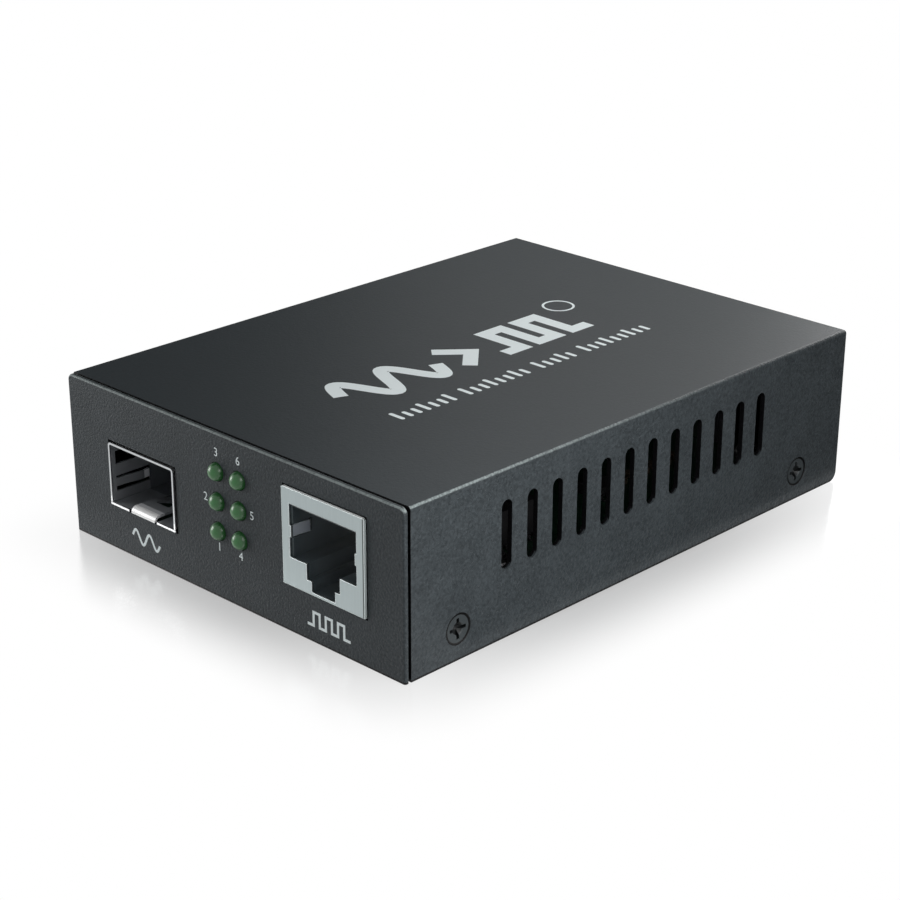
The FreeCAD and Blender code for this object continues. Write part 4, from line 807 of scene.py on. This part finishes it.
def makeFloor(look):
    half = look["size"] / 2
    mesh = bpy.data.meshes.new("floor")
    corners = [(-half, -half, 0), (half, -half, 0), (half, half, 0), (-half, half, 0)]
    mesh.from_pydata(corners, [], [(0, 1, 2, 3)])
    floor = bpy.data.objects.new("floor", mesh)
    floor.location.z = -look["depth"]
    bpy.context.collection.objects.link(floor)
    material = bpy.data.materials.new("paleFloor")
    material.use_nodes = True
    tree = material.node_tree
    tree.nodes.clear()
    place = addNode(tree, "ShaderNodeTexCoord").outputs["Object"]
    away = None
    for spot in look["spots"]:
        apart = combine(tree, "DISTANCE", place, spot, "Value")
        away = apart if away is None else calculate(tree, "MINIMUM", away, apart)
    fade = addNode(tree, "ShaderNodeMapRange", {0: away, 1: look["near"], 2: look["far"], 3: 1.0, 4: 0.0},
                   interpolation_type="SMOOTHSTEP").outputs[0]
    # how far a place lies outside the case's footprint
    reach = combine(tree, "SUBTRACT", combine(tree, "ABSOLUTE", place), (sideX, -frontY, 1.0))
    reach = combine(tree, "LENGTH", combine(tree, "MAXIMUM", reach), output="Value")
    close = addNode(tree, "ShaderNodeMapRange", {0: reach, 1: 0.0, 2: look["spread"], 3: 1.0, 4: 0.0},
                    interpolation_type="SMOOTHSTEP")
    fade = calculate(tree, "MULTIPLY", fade, close.outputs[0])
    plain = addNode(tree, "ShaderNodeBsdfDiffuse", {"Color": opaque(look["color"])})
    glow = addNode(tree, "ShaderNodeEmission", {"Color": (1, 1, 1, 1), "Strength": look["white"]})
    white = addNode(tree, "ShaderNodeEmission", {"Color": (1, 1, 1, 1), "Strength": 1.0})
    # a fine grain blurs the mirror image more the higher the thing that it shows
    grain = addNode(tree, "ShaderNodeTexNoise", {"Vector": place, "Scale": 1.0 / look["grain"]})
    bump = addNode(tree, "ShaderNodeBump", {"Height": grain.outputs[0], "Strength": 1.0,
                                            "Distance": look["bump"]})
    mirror = addNode(tree, "ShaderNodeBsdfGlossy", {"Color": (1, 1, 1, 1), "Roughness": 0.0,
                                                    "Normal": bump.outputs[0]})
    matt = addNode(tree, "ShaderNodeMixShader", {0: look["plain"] / (1 - look["mirror"]), 1: glow.outputs[0],
                                                 2: plain.outputs[0]})
    nearby = addNode(tree, "ShaderNodeMixShader", {0: look["mirror"], 1: matt.outputs[0],
                                                   2: mirror.outputs[0]})
    shown = addNode(tree, "ShaderNodeMixShader", {0: fade, 1: white.outputs[0], 2: nearby.outputs[0]})
    both = addNode(tree, "ShaderNodeMixShader", {0: seenByViewer(tree), 1: plain.outputs[0],
                                                 2: shown.outputs[0]})
    addNode(tree, "ShaderNodeOutputMaterial", {0: both.outputs[0]})
    mesh.materials.append(material)


makeFloor(floorLook)

# dark cards seen only in the coat's soft reflections, so that the white room does not wash it out
cards = {
    "cardBehind": [(-0.94, 0.12, 0.0), (-0.06, 0.94, 0.0), (0.34, 0.52, 0.74), (-0.54, -0.30, 0.74)],
    "cardBeside": [(0.0356, -0.035, 0.001), (0.048, -0.035, 0.001), (0.30, 0.06, 0.001),
                   (0.30, 0.50, 0.001), (0.0356, 0.50, 0.001)],
}


def makeCard(name, corners, finish):
    mesh = bpy.data.meshes.new(name)
    mesh.from_pydata(corners, [], [list(range(len(corners)))])
    mesh.materials.append(finish)
    card = bpy.data.objects.new(name, mesh)
    bpy.context.collection.objects.link(card)
    card.visible_camera = False
    card.visible_diffuse = False
    card.visible_transmission = False
    card.visible_shadow = False


def makeCardFinish():
    # black to a blurred reflection, clear to the sharp one in the floor
    material = bpy.data.materials.new("darkCard")
    material.use_nodes = True
    tree = material.node_tree
    tree.nodes.clear()
    clear = addNode(tree, "ShaderNodeBsdfTransparent")
    dark = addNode(tree, "ShaderNodeBsdfDiffuse", {"Color": (0, 0, 0, 1)})
    sharp = addNode(tree, "ShaderNodeLightPath").outputs["Is Singular Ray"]
    both = addNode(tree, "ShaderNodeMixShader", {0: sharp, 1: dark.outputs[0], 2: clear.outputs[0]})
    addNode(tree, "ShaderNodeOutputMaterial", {0: both.outputs[0]})
    return material


cardFinish = makeCardFinish()
for label, corners in cards.items():
    makeCard(label, corners, cardFinish)

# white surroundings to look at, and a weaker even light from them
around = {"light": 0.18, "seen": 1.0}


def makeWorld(look):
    world = bpy.data.worlds.new("paleRoom")
    bpy.context.scene.world = world
    world.use_nodes = True
    tree = world.node_tree
    more = calculate(tree, "MULTIPLY", seenByViewer(tree), look["seen"] - look["light"])
    strength = calculate(tree, "ADD", more, look["light"])
    background = tree.nodes["Background"]
    background.inputs["Color"].default_value = (1, 1, 1, 1)
    tree.links.new(strength, background.inputs["Strength"])


makeWorld(around)

# soft lamps: place, point that they face, width and power
lamps = {
    "rearLow": {"place": (0.0, 0.17, 0.10), "at": (0.0, 0.0, 0.02), "size": 0.10, "power": 0.235},
    "rearLeft": {"place": (-0.14, 0.18, 0.15), "at": (0.0, 0.0, 0.02), "size": 0.10, "power": 0.060},
    "leftFar": {"place": (-0.16, -0.13, 0.05), "at": (-0.03, -0.048, 0.012), "size": 0.08, "power": 0.160},
    "sideBack": {"place": (0.12, -0.02, 0.04), "at": (0.035, -0.035, 0.020), "size": 0.06, "power": 0.067},
    "sideTop": {"place": (0.07, -0.05, 0.055), "at": (0.035, -0.035, 0.015), "size": 0.04, "power": 0.0165},
}


def makeLamp(name, look):
    data = bpy.data.lights.new(name, "AREA")
    data.shape = "SQUARE"
    data.size = look["size"]
    data.energy = look["power"]
    lamp = bpy.data.objects.new(name, data)
    ahead = Vector(look["at"]) - Vector(look["place"])
    turned = ahead.to_track_quat("-Z", "Y").to_matrix().to_4x4()
    lamp.matrix_world = Matrix.Translation(Vector(look["place"])) @ turned
    bpy.context.collection.objects.link(lamp)
    lamp.visible_camera = False


for label, look in lamps.items():
    makeLamp(label, look)
print("stage and lamps set")
